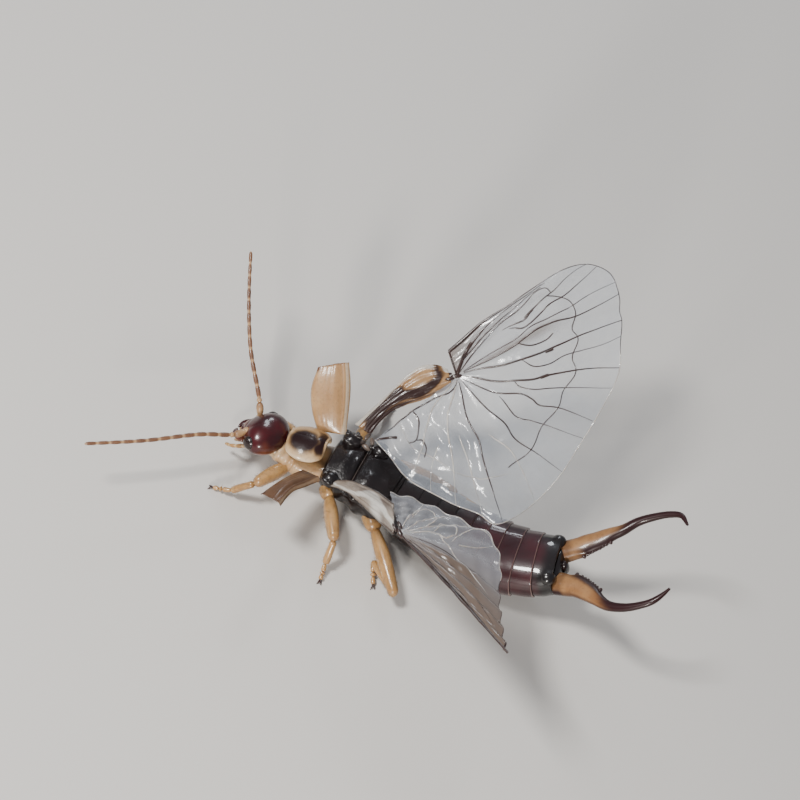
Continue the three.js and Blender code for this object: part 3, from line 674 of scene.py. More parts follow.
HEAD_SHELL = Cuticle(
    "head_red_brown", (0.052, 0.004, 0.006), (0.026, 0.003, 0.004), (0.2, 0.06, 0.025),
    roughness=0.3, rough_spread=0.1, coat=0.5, coat_rough=0.06, specular=0.25, net=26.0, pits=3.4,
    pit_depth=0.15, relief=0.08,
)
EYE_BLACK = Cuticle(
    "eye_black", (0.01, 0.004, 0.004), (0.016, 0.006, 0.006), (0.01, 0.008, 0.008),
    roughness=0.25, coat=0.4, coat_rough=0.05, specular=0.3, net=30.0, pit_depth=0.0, relief=0.4,
)
TAN_SKIN = Cuticle(
    "tan_cuticle", (0.45, 0.255, 0.095), (0.34, 0.18, 0.06), (0.6, 0.42, 0.2),
    second=(0.16, 0.06, 0.022), roughness=0.32, coat=0.5, coat_rough=0.1, net=18.0, pits=4.0,
    pit_depth=0.25, relief=0.2, soft=0.25,
)
NECK_SKIN = Cuticle(
    "neck_membrane", (0.5, 0.32, 0.16), (0.4, 0.23, 0.1), (0.62, 0.45, 0.27),
    second=(0.06, 0.03, 0.018), roughness=0.36, coat=0.4, coat_rough=0.15, net=12.0, pits=6.0,
    pit_depth=0.4, relief=0.5, soft=0.3,
)
FEELER_BROWN = Cuticle(
    "feeler_brown", (0.17, 0.075, 0.033), (0.12, 0.048, 0.022), (0.45, 0.27, 0.13),
    roughness=0.42, coat=0.2, net=20.0, pits=9.0, pit_depth=0.6, relief=0.35,
)
PRONOTUM_PLATE = Cuticle(
    "pronotum_plate", (0.5, 0.31, 0.15), (0.42, 0.25, 0.11), (0.014, 0.004, 0.004),
    mark="disc", mark_from=0.0, mark_to=1.0, second=(0.66, 0.5, 0.32), second_mark="rim",
    roughness=0.3, rough_spread=0.14, coat=0.2, coat_rough=0.08, specular=0.2, net=20.0, pits=4.5,
    pit_depth=0.7, relief=0.35,
)
THORAX_BLACK = Cuticle(
    "thorax_black", (0.007, 0.005, 0.005), (0.011, 0.007, 0.007), (0.2, 0.15, 0.12),
    roughness=0.25, rough_spread=0.12, coat=0.35, coat_rough=0.06, specular=0.28, net=16.0, pits=4.0,
    pit_depth=0.8, relief=0.4,
)
# Its near-black second tone carries the dark end and the painted shade on the first plates.
ABDOMEN_MAROON = Cuticle(
    "abdomen_maroon", (0.04, 0.006, 0.009), (0.022, 0.004, 0.006), (0.26, 0.16, 0.14),
    mark="edge", mark_from=0.25, mark_to=0.9, second=(0.005, 0.003, 0.003),
    roughness=0.34, rough_spread=0.12, coat=0.85, coat_rough=0.05, specular=0.25, net=14.0, pits=5.5,
    pit_depth=0.6, relief=0.16,
)
FORCEPS_HORN = Cuticle(
    "forceps_horn", (0.32, 0.17, 0.072), (0.23, 0.105, 0.04), (0.022, 0.004, 0.005),
    mark="tip", mark_from=0.0, mark_to=1.0, second=(0.02, 0.005, 0.005),
    roughness=0.36, rough_spread=0.1, coat=0.22, coat_rough=0.1, specular=0.22, net=20.0, pits=6.0,
    pit_depth=0.3, relief=0.15,
)
HORN_DARK = Cuticle(
    "dark_horn", (0.035, 0.009, 0.007), (0.022, 0.006, 0.005), (0.3, 0.15, 0.06),
    roughness=0.3, coat=0.4, net=24.0, pit_depth=0.0, relief=0.1,
)
WING_CASE = Cuticle(
    "wing_case_leather", (0.45, 0.27, 0.125), (0.38, 0.215, 0.093), (0.6, 0.47, 0.33),
    second=(0.14, 0.06, 0.028), roughness=0.36, coat=0.3, coat_rough=0.14, specular=0.35, net=9.0, pits=5.0,
    pit_depth=0.4, relief=0.35, soft=0.15,
)
# A darker copy of the wing-case leather for the left case: painted shade.
SHADED_CASE = Cuticle(
    "shaded_case_leather", (0.135, 0.066, 0.03), (0.085, 0.04, 0.018), (0.3, 0.19, 0.11),
    second=(0.05, 0.02, 0.01), roughness=0.36, coat=0.25, coat_rough=0.12, specular=0.35, net=9.0, pits=5.0,
    pit_depth=0.4, relief=0.35, soft=0.1, clear=0.25,
)
WING_LEATHER = Cuticle(
    "wing_base_leather", (0.36, 0.21, 0.095), (0.26, 0.14, 0.06), (0.5, 0.46, 0.4),
    second=(0.022, 0.008, 0.006), roughness=0.34, coat=0.28, coat_rough=0.12, specular=0.3, net=8.0,
    pits=4.0, pit_depth=0.4, relief=0.35, clear=0.4,
)
# A silvery copy of the wing-base leather: painted sheen, with painted glints where the pale mark is high.
SHEEN_PAINTED_LEATHER = Cuticle(
    "silver_wing_leather", (0.24, 0.2, 0.165), (0.13, 0.1, 0.08), (0.6, 0.58, 0.54),
    second=(0.03, 0.018, 0.014), roughness=0.24, coat=0.8, coat_rough=0.08, net=6.0, pits=3.0,
    pit_depth=0.6, relief=0.6, clear=0.2,
)
VEIN_BROWN = Cuticle(
    "vein_brown", (0.035, 0.014, 0.01), (0.022, 0.009, 0.007), (0.55, 0.5, 0.45),
    roughness=0.3, coat=0.5, net=16.0, pit_depth=0.2, relief=0.2,
)
VEIN_PALE = Cuticle(
    "vein_pale", (0.55, 0.52, 0.48), (0.42, 0.38, 0.34), (0.6, 0.58, 0.55),
    roughness=0.2, coat=0.8, net=16.0, pit_depth=0.2, relief=0.2, soft=0.2,
)
BRISTLE_BROWN = Cuticle(
    "bristle_brown", (0.16, 0.085, 0.04), (0.1, 0.05, 0.025), (0.2, 0.1, 0.05),
    roughness=0.4, coat=0.2, net=30.0, pit_depth=0.0, relief=0.05,
)
CLEAR_WING = Membrane(
    "clear_wing", (0.52, 0.58, 0.66), (0.2, 0.16, 0.14), least=0.1, most=0.5, crease=0.5, gloss=0.8,
)
FOLDED_WING = Membrane(
    "folded_wing", (0.5, 0.52, 0.56), (0.17, 0.125, 0.098), least=0.14, most=0.92, crease=0.6, gloss=0.35,
)


# Geometry Nodes


def tube(t: Tree, line: Socket, radius: Socket, sides: object) -> Socket:
    """A closed round tube along lines.

    Args:
        t: The tree.
        line: The lines, as curves.
        radius: The radius along them.
        sides: How many sides the tube has.

    Returns:
        The tube's mesh.
    """
    line = t.first("GeometryNodeSetCurveRadius", {"Curve": line, "Radius": radius})
    ring = t.first("GeometryNodeCurvePrimitiveCircle", {"Resolution": sides, "Radius": 1.0})
    made = t.node("GeometryNodeCurveToMesh", {"Curve": line, "Profile Curve": ring, "Fill Caps": True})
    if "Scale" in made.inputs:
        t.feed(made, {"Scale": radius})
    return made.outputs[0]


def turned_to(t: Tree, direction: object) -> Socket:
    """The rotation that turns up to a direction."""
    return t.first("FunctionNodeAlignRotationToVector", {"Vector": direction}, axis="Z")


def named(t: Tree, name: str, kind: str = "FLOAT") -> Socket:
    """The value of a mark on the guide that a tree works on."""
    return t.first("GeometryNodeInputNamedAttribute", {"Name": name}, data_type=kind)


def beaded_rod(t: Tree, given: Sockets) -> Socket:
    """A row of beads along a line, joined at narrow waists; the mark pale is high at each waist.

    Args:
        t: The tree.
        given: Its inputs.

    Returns:
        The rod's mesh.
    """
    line = t.first("GeometryNodeMeshToCurve", {"Mesh": given["Geometry"]})
    steps = t.math("MULTIPLY", given["Segments"], 9.0)
    line = t.first("GeometryNodeResampleCurve", {"Curve": line, "Count": steps})
    along = t.node("GeometryNodeSplineParameter").outputs["Factor"]
    phase = t.math("FRACT", t.math("MULTIPLY", along, given["Segments"]))
    swell = t.math("POWER", t.math("SINE", t.math("MULTIPLY", phase, math.pi)), 0.55)
    waist = t.math("MULTIPLY_ADD", swell, t.math("SUBTRACT", 1.0, given["Waist"]), given["Waist"])
    shrink = t.math("SUBTRACT", given["Tip Radius"], given["Radius"])
    taper = t.math("MULTIPLY_ADD", along, shrink, given["Radius"])
    ends = t.math("MINIMUM", t.math("MULTIPLY_ADD", t.math("SUBTRACT", 1.0, along), 60.0, 0.35), 1.0)
    radius = t.math("MULTIPLY", t.math("MULTIPLY", taper, waist), ends)
    marked = {"Geometry": line, "Name": "pale", "Value": t.math("SUBTRACT", 1.0, swell)}
    line = t.first("GeometryNodeStoreNamedAttribute", marked, data_type="FLOAT", domain="POINT")
    return tube(t, line, radius, given["Sides"])


def vein_net(t: Tree, given: Sockets) -> Socket:
    """Fine round tubes along every line of a guide, each point as thick as its mark thick says."""
    line = t.first("GeometryNodeMeshToCurve", {"Mesh": given["Geometry"]})
    return tube(t, line, t.math("MULTIPLY", named(t, "thick"), given["Scale"]), given["Sides"])


def bristles(t: Tree, given: Sockets) -> Socket:
    """Fine tapering bristles scattered over a surface, leaning along a direction.

    Args:
        t: The tree.
        given: Its inputs.

    Returns:
        The bristles, as instances.
    """
    height = t.node("ShaderNodeSeparateXYZ", {0: t.first("GeometryNodeInputPosition")}).outputs[2]
    scatter = t.node(
        "GeometryNodeDistributePointsOnFaces",
        {"Mesh": given["Geometry"], "Selection": t.math("GREATER_THAN", height, given["Lowest"]),
         "Density": given["Density"], "Seed": given["Seed"]},
    ).outputs
    lean = t.first("ShaderNodeVectorMath", {0: scatter["Normal"], 1: given["Lean"]}, operation="ADD")
    spike = {"Vertices": 4, "Radius Top": 0.0, "Radius Bottom": given["Radius"], "Depth": given["Length"]}
    size = {"Min": (0.6, 0.6, 0.55), "Max": (1.0, 1.0, 1.2), "Seed": given["Seed"]}
    return t.first(
        "GeometryNodeInstanceOnPoints",
        {"Points": scatter["Points"], "Instance": t.node("GeometryNodeMeshCone", spike).outputs["Mesh"],
         "Rotation": turned_to(t, lean),
         "Scale": t.first("FunctionNodeRandomValue", size, data_type="FLOAT_VECTOR")},
    )


def teeth(t: Tree, given: Sockets) -> Socket:
    """Blunt teeth on the points of a line, each turned by its mark out and sized by its mark size.

    Args:
        t: The tree.
        given: Its inputs.

    Returns:
        The teeth, as instances.
    """
    sizes = {"Segments": 12, "Rings": 8, "Radius": given["Radius"]}
    ball = t.node("GeometryNodeMeshUVSphere", sizes).outputs["Mesh"]
    return t.first(
        "GeometryNodeInstanceOnPoints",
        {"Points": t.first("GeometryNodeMeshToPoints", {"Mesh": given["Geometry"]}),
         "Instance": t.first("GeometryNodeTransform", {"Geometry": ball, "Scale": (1.0, 0.8, 1.5)}),
         "Rotation": turned_to(t, named(t, "out", "FLOAT_VECTOR")), "Scale": named(t, "size")},
    )


class Tool(Enum):
    """The node trees that make what repeats or follows a path: name, what fills them, shading and inputs."""

    BEADED_ROD = (
        "beaded_rod", beaded_rod, True,
        {"Segments": ("Int", 12), "Radius": ("Float", 0.1 * MM), "Tip Radius": ("Float", 0.07 * MM),
         "Waist": ("Float", 0.7), "Sides": ("Int", 12)},
    )
    VEIN_NET = ("vein_net", vein_net, True, {"Scale": ("Float", 1.0), "Sides": ("Int", 6)})
    BRISTLES = (
        "bristles", bristles, False,
        {"Density": ("Float", 4.0e6), "Length": ("Float", 0.18 * MM), "Radius": ("Float", 0.009 * MM),
         "Lean": ("Vector", (0.0, 0.0, 0.0)), "Seed": ("Int", 3), "Lowest": ("Float", 0.0)},
    )
    TEETH = ("teeth", teeth, True, {"Radius": ("Float", 0.09 * MM)})

    def tree(self) -> bpy.types.NodeTree:
        """Builds the tree, or gives the one built before.

        Returns:
            The tree, which ends in Realize Instances, Set Shade Smooth and Set Material.
        """
        name, fill, rounded, inputs = self.value
        if name in bpy.data.node_groups:
            return bpy.data.node_groups[name]
        tree = bpy.data.node_groups.new(name, "GeometryNodeTree")
        for way in ("INPUT", "OUTPUT"):
            tree.interface.new_socket("Geometry", in_out=way, socket_type="NodeSocketGeometry")
        for key, (kind, value) in inputs.items():
            socket = tree.interface.new_socket(key, in_out="INPUT", socket_type=f"NodeSocket{kind}")
            socket.default_value = value
        tree.interface.new_socket("Finish", in_out="INPUT", socket_type="NodeSocketMaterial")
        t = Tree(tree)
        given = t.node("NodeGroupInput").outputs
        made = t.first("GeometryNodeRealizeInstances", {"Geometry": fill(t, given)})
        made = t.first("GeometryNodeSetShadeSmooth", {"Geometry": made, "Shade Smooth": rounded})
        made = t.first("GeometryNodeSetMaterial", {"Geometry": made, "Material": given["Finish"]})
        t.node("NodeGroupOutput", {"Geometry": made})
        return tree

    def grow(self, base: Thing, name: str, finish: Finish, **inputs: object) -> Thing:
        """Runs the tree on an object and keeps the result as a plain mesh.

        Args:
            base: The object that the tree starts from; it is removed if its name starts with guide_.
            name: The new object's name.
            finish: The new object's finish.
            **inputs: Values of the tree's named inputs, with _ for a space.

        Returns:
            The linked object.
        """
        tree = self.tree()
        host = linked(f"{name}_host", base.data.copy())
        modifier = host.modifiers.new(tree.name, "NODES")
        modifier.node_group = tree
        ids = {s.name: s.identifier for s in tree.interface.items_tree if s.in_out == "INPUT"}
        for key, value in {**inputs, "Finish": finish.material()}.items():
            modifier[ids[key.replace("_", " ")]] = value
        bpy.context.view_layer.update()
        shaped = host.evaluated_get(bpy.context.evaluated_depsgraph_get())
        mesh = bpy.data.meshes.new_from_object(shaped)
        host.modifiers.clear()
        bpy.data.objects.remove(host)
        if base.name.startswith("guide_"):
            bpy.data.objects.remove(base)
        mesh.name = name
        if not mesh.materials:
            mesh.materials.append(finish.material())
        return linked(name, mesh)


def guide(name: str, lines: Sequence[Points], **marks: Sequence[Points]) -> Thing:
    """A mesh of plain lines for a node tree to follow.

    Args:
        name: What it guides.
        lines: The lines, each an array of points in millimetres.
        **marks: For each line, the values of its points; scalars or vectors.

    Returns:
        The linked object.
    """
    points, edges, start = [], [], 0
    for line in lines:
        points.append((np.asarray(line) + SHIFT) * MM)
        edges += [(start + i, start + i + 1) for i in range(len(line) - 1)]
        start += len(line)
    mesh = bpy.data.meshes.new(f"guide_{name}")
    mesh.from_pydata(np.vstack(points).tolist(), edges, [])
    for key, values in marks.items():
        flat = np.concatenate([np.asarray(v, np.float32) for v in values])
        vector = flat.ndim == 2
        mark = mesh.attributes.new(key, "FLOAT_VECTOR" if vector else "FLOAT", "POINT")
        mark.data.foreach_set("vector" if vector else "value", flat.reshape(-1))
    return linked(f"guide_{name}", mesh)


def fit(piece: Thing, slot: str, *nodes: str) -> Thing:
    """Lets a finished piece ride with the part and stand for its solids.

    Args:
        piece: The finished piece.
        slot: Not used.
        *nodes: The solids it replaces.

    Returns:
        The same piece.
    """
    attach(piece, "root")
    if nodes:
        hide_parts(*nodes)
    LOG.info("%s: %d faces", piece.name, len(piece.data.polygons))
    return piece


# The animal


@dataclass(frozen=True)
class Beads:
    """A row of beads: how many, their radius at the root and at the tip, their waists and their sides."""

    count: int
    radius: float
    tip: float
    waist: float
    sides: int

    def build(self, line: Points, name: str, finish: Finish) -> Thing:
        """Grows the beads along a line.

        Args:
            line: The line's points.
            name: The new object's name.
            finish: The new object's finish.

        Returns:
            The linked object.
        """
        return Tool.BEADED_ROD.grow(
            guide(name, [line]), name, finish, Segments=self.count, Radius=self.radius * MM,
            Tip_Radius=self.tip * MM, Waist=self.waist, Sides=self.sides,
        )


@dataclass
class Head:
    """The head capsule with its eyes, feelers and mouthparts."""

    frame: Frame = field(default_factory=lambda: Frame.turned((4.42, 0.28, 1.6), -6, 8, 10))
    length: float = 1.78
    width: float = 2.14
    height: float = 1.24
    squareness: float = 2.3
    halves: Row = (0.42, 0.68, 0.85, 0.96, 1.0, 0.99, 0.92, 0.7)
    ups: Row = (0.42, 0.72, 0.9, 1.0, 1.0, 0.96, 0.88, 0.72)
    downs: Row = (0.5, 0.85, 1.0, 1.0, 0.95, 0.85, 0.75, 0.6)
    eye_at: Place = (0.16, 0.88, 0.06)
    eye_halves: Place = (0.3, 0.22, 0.29)
    socket: Place = (0.56, 0.5, 0.2)
    scape_end: float = 0.085
    pedicel_end: float = 0.112
    scape: Row = (0.5, 0.75, 0.86, 0.95, 1.02, 1.08, 1.12, 1.15, 1.16, 1.16, 1.12, 1.02, 0.85, 0.5)
    pedicel: Row = (0.5, 0.85, 1.0, 1.05, 1.05, 1.0, 0.85, 0.5)
    scape_half: float = 0.125
    pedicel_half: float = 0.1
    feeler_ball: Place = (0.15, 0.15, 0.12)
    feeler_beads: Beads = Beads(12, 0.098, 0.07, 0.66, 14)
    feeler_left: Knots = ((5.35, 1.05, 1.8), (6.5, 2.0, 2.1), (8.1, 3.4, 2.2), (9.95, 4.8, 2.3))
    feeler_right: Knots = ((5.25, -0.7, 2.1), (6.45, -2.1, 2.85), (7.45, -3.7, 3.6), (8.28, -5.3, 4.3))
    jaw: Knots = ((0.6, 0.5, -0.24), (0.88, 0.46, -0.3), (1.1, 0.3, -0.36), (1.2, 0.05, -0.4))
    outer: Knots = ((0.36, 0.44, -0.47), (0.66, 0.56, -0.64), (1.02, 0.64, -0.78), (1.36, 0.52, -0.96))
    inner: Knots = ((0.62, 0.16, -0.52), (0.9, 0.3, -0.68), (1.14, 0.24, -0.82))
    jaw_halves: Row = (0.2, 0.18, 0.14, 0.04)
    outer_beads: Beads = Beads(4, 0.1, 0.065, 0.72, 14)
    inner_beads: Beads = Beads(3, 0.075, 0.05, 0.72, 12)
    upper_lip: Ball = ((0.8, 0, -0.14), (0.2, 0.34, 0.15))
    lower_lip: Ball = ((0.42, 0, -0.52), (0.42, 0.34, 0.14))

    def capsule(self) -> None:
        """Builds the shell of the head, its seams, its cheeks and its sockets."""
        rings, sides = 60, 96
        t = np.linspace(0, 1, rings)
        edge = np.sin(np.pi * np.clip(t, 0.012, 0.988)) ** 0.3
        c, s = squared(angles(sides), self.squareness)
        half = self.width / 2 * table(self.halves, t) * edge
        up = self.height / 2 * table(self.ups, t) * edge
        down = self.height / 2 * table(self.downs, t) * edge
        x = np.broadcast_to((self.length * (0.5 - t))[:, None], (rings, sides))
        y = half[:, None] * c
        z = np.where(s > 0, up[:, None], down[:, None]) * s
        seam = 0.022 * bump(y, 0.0, 0.03) * smooth(0.1, -0.1, x)
        arm = bump(np.abs(y) - (0.12 + 0.75 * x), 0.0, 0.035) * smooth(0.0, 0.06, x) * smooth(0.6, 0.4, x)
        domes = 0.03 * bump(np.abs(y), 0.4, 0.3) * bump(x, -0.2, 0.5)
        brow = 0.03 * bump(x, 0.32, 0.28) * bump(y, 0, 0.5)
        z = z + smooth(0.1, 0.8, s) * (domes + brow - seam - 0.016 * arm - 0.03 * bump(x, 0.72, 0.035))
        pit = bump(x, self.socket[0], 0.11) * bump(np.abs(y), self.socket[1], 0.1) * (s > 0)
        z = z - 0.05 * pit
        pale = 0.6 * smooth(-0.62, -0.88, x) * smooth(0.2, 0.8, y) + 0.6 * smooth(0.68, 0.85, x) + 0.8 * pit
        pale = pale + 0.4 * smooth(0.35, 0.9, y) * smooth(0.0, -0.5, x) + 0.25 * smooth(0.1, -0.25, z)
        draft = Draft()
        draft.loft(self.frame.place(np.stack([x, y, z], -1)), pale=np.clip(pale, 0, 1))
        fit(draft.piece("head_shell", HEAD_SHELL), "head_shell", "head")

    def eye(self, label: str, side: int) -> None:
        """Builds the compound eye that is set into one side of the head.

        Args:
            label: left or right.
            side: 1 for the left one and -1 for the right one.
        """
        draft = Draft()
        draft.ball(self.frame, np.multiply(self.eye_at, (1, side, 1)), self.eye_halves, 24)
        fit(draft.piece(f"eyeball_{label}", EYE_BLACK), "eye", f"eye_{label}")

    def feeler(self, label: str, side: int) -> None:
        """Builds one feeler: a stout first joint, a short second one and a row of beads.

        Args:
            label: left or right.
            side: 1 for the left one and -1 for the right one.
        """
        root = self.frame.place(np.multiply(self.socket, (1, side, 1)))
        path = Path([root, *(self.feeler_left if side > 0 else self.feeler_right)])
        draft = Draft()
        d = np.linspace(0, self.scape_end, len(self.scape)) * path.length
        club = np.array(self.scape) * self.scape_half
        draft.loft(tube_rings(path, d, club, club, 20), pale=np.linspace(0.9, 0.35, len(d))[:, None])
        d = np.linspace(self.scape_end, self.pedicel_end, len(self.pedicel)) * path.length
        knob = np.array(self.pedicel) * self.pedicel_half
        draft.loft(tube_rings(path, d, knob, knob, 16), pale=0.75)
        draft.ball(Frame.level(root), (0, 0, 0), self.feeler_ball, 10, pale=1.0)
        fit(draft.piece(f"feeler_root_{label}", FEELER_BROWN), "antenna")
        line = path.share(np.linspace(self.pedicel_end, 1.0, 90))
        rod = self.feeler_beads.build(line, f"feeler_{label}", FEELER_BROWN)
        fit(rod, "antenna", f"antenna_{label}")

    def sided(self, knots: Knots, side: int) -> Path:
        """A path in the head's frame, on its left side or its right one."""
        return Path(self.frame.place(np.array(knots) * (1, side, 1)))

    def mouth(self) -> None:
        """Builds the upper lip, the lower lip and the jaws."""
        draft = Draft()
        draft.ball(self.frame, *self.upper_lip, 16, 0, pale=0.2)
        draft.ball(self.frame, *self.lower_lip, 14, 1, pale=0.4)
        for _, side in SIDES:
            jaw = self.sided(self.jaw, side)
            d = np.linspace(0, 1, 16)
            wide = table(self.jaw_halves, d)
            rings = tube_rings(jaw, d * jaw.length, wide, wide * 0.7, 14)
            draft.loft(rings, pale=smooth(0.6, 0.2, d)[:, None] * 0.5)
        fit(draft.piece("mouthparts", HEAD_SHELL, TAN_SKIN), "palp", "mouth")

    def mouth_feelers(self, label: str, side: int) -> None:
        """Builds the outer and the inner mouth feeler of one side.

        Args:
            label: left or right.
            side: 1 for the left ones and -1 for the right ones.
        """
        line = self.sided(self.outer, side).share(np.linspace(0, 1, 40))
        fit(self.outer_beads.build(line, f"mouth_feeler_{label}", TAN_SKIN), "palp", f"palp_{label}")
        line = self.sided(self.inner, side).share(np.linspace(0, 1, 30))
        fit(self.inner_beads.build(line, f"lip_feeler_{label}", TAN_SKIN), "palp")

    def build(self) -> None:
        """Builds every piece of the head."""
        self.capsule()
        for label, side in SIDES:
            self.eye(label, side)
        for label, side in SIDES:
            self.feeler(label, side)
        self.mouth()
        for label, side in SIDES:
            self.mouth_feelers(label, side)


@dataclass
class Forebody:
    """The neck, the soft body of the prothorax and the pronotum over it."""

    frame: Frame = field(default_factory=lambda: Frame.turned((2.76, -0.05, 2.03), 4.5, 10, 15))
    length: float = 1.46
    width: float = 2.18
    thickness: float = 0.42
    front_share: float = 0.93
    droop: float = 0.3
    lift: float = 0.1
    thinning: float = 0.45
    rim_thick: float = 0.09
    middle_thick: float = 0.2
    neck_line: Knots = (
        (3.95, 0.3, 1.5), (3.5, 0.3, 1.34), (3.1, 0.25, 1.2), (2.57, 0.2, 1.06), (2.1, 0.1, 1.15),
        (1.4, 0, 1.35),
    )
    neck_halves: Row = (0.6, 0.7, 0.76, 0.78, 0.8, 0.8)
    neck_ups: Row = (0.36, 0.42, 0.48, 0.5, 0.5, 0.46)
    neck_downs: Row = (0.36, 0.4, 0.46, 0.5, 0.5, 0.5)

    def neck(self) -> None:
        """Builds the folded neck skin and the soft body below the pronotum as one skin."""
        path = Path(self.neck_line)
        t = np.linspace(0, 1, 72)
        folds = 1 + 0.03 * np.sin(t * 60) * smooth(0.5, 0.35, t)
        half, up, down = (table(v, t) * folds for v in (self.neck_halves, self.neck_ups, self.neck_downs))
        rings = tube_rings(path, t * path.length, half, up, 52, down, 2.4)
        draft = Draft()
        draft.loft(rings, dark=smooth(0.78, 0.95, t)[:, None], pale=0.5 * smooth(0.5, 0.1, t)[:, None])
        fit(draft.piece("neck_skin", NECK_SKIN), "neck", "prothorax")

    def pronotum(self) -> None:
        """Builds the plate with its raised dark disc, its groove and its thin pale rim."""
        t = np.linspace(0, 1, 64)[:, None]
        k = np.linspace(1, -1, 72)[None]
        corner = np.sin(np.pi * np.clip(t, 0.006, 0.994)) ** 0.22
        y = self.width / 2 * k * corner * (self.front_share + (1 - self.front_share) * t)
        x = self.length * (0.5 - t) + 0.04 * (1 - k**2) * np.sign(0.5 - t) * smooth(0.2, 0.5, np.abs(t - 0.5))
        disc = smooth(1.15, 0.4, np.hypot((t - 0.46) / 0.5, (k - 0.14) / 0.72))
        groove = 0.012 * bump(k, 0.1, 0.05) * smooth(0.05, 0.15, t) * smooth(0.8, 0.6, t)
        rim = smooth(0.88, 1.0, np.maximum(np.abs(k), np.abs(2 * t - 1)))
        top = self.lift * np.sin(np.pi * t) * (1 - k**2) - self.droop * k**2
        top = top + self.thickness / 2 * (1 - self.thinning * np.abs(k) ** 3)
        top = top + 0.015 * disc - groove + 0.02 * rim + 0.04 * bump(t, 0.8, 0.1) * bump(k, 0.1, 0.4)
        thin = np.maximum(np.abs(k) ** 3, np.abs(2 * t - 1) ** 6)
        thick = self.rim_thick + self.middle_thick * (1 - thin)
        middle = self.frame.place(np.stack([x, y, top - thick / 2], -1))
        ragged = 0.025 * np.sin(9 * t + 14 * k) + 0.02 * np.sin(23 * t - 11 * k + 1)
        dark = smooth(1.45, 0.6, np.hypot((t - 0.42) / 0.4, (k - 0.32) / 0.46) + ragged)
        rear = smooth(0.66, 0.84, t + ragged) * smooth(0.99, 0.95, t) * smooth(0.75, 0.45, np.abs(k - 0.2))
        dark = np.maximum(dark, 0.85 * rear) * (1 - 0.2 * smooth(0.35, 0.05, t))
        dark = dark + 0.15 * smooth(0.9, 0.3, np.abs(k)) * smooth(0.02, 0.2, t)
        rim = 0.5 * rim + 0.6 * smooth(0.55, 0.9, k) * smooth(0.98, 0.8, t)
        draft = Draft()
        draft.sheet(middle, thick, disc=np.clip(dark, 0, 1), rim=np.clip(rim * (1 - dark), 0, 1))
        fit(draft.piece("pronotum_plate", PRONOTUM_PLATE), "pronotum", "pronotum")

    def build(self) -> None:
        """Builds the neck and the plate."""
        self.neck()
        self.pronotum()


BODY_LINE = Path(
    [(1.95, -0.08, 1.5), (0.2, -0.1, 1.4), (-1.0, -0.06, 1.27), (-3.2, 0.1, 1.06), (-5.2, 0.22, 1.08),
     (-6.6, 0.16, 1.42), (-7.6, 0.02, 1.82), (-8.5, -0.1, 2.2)]
)


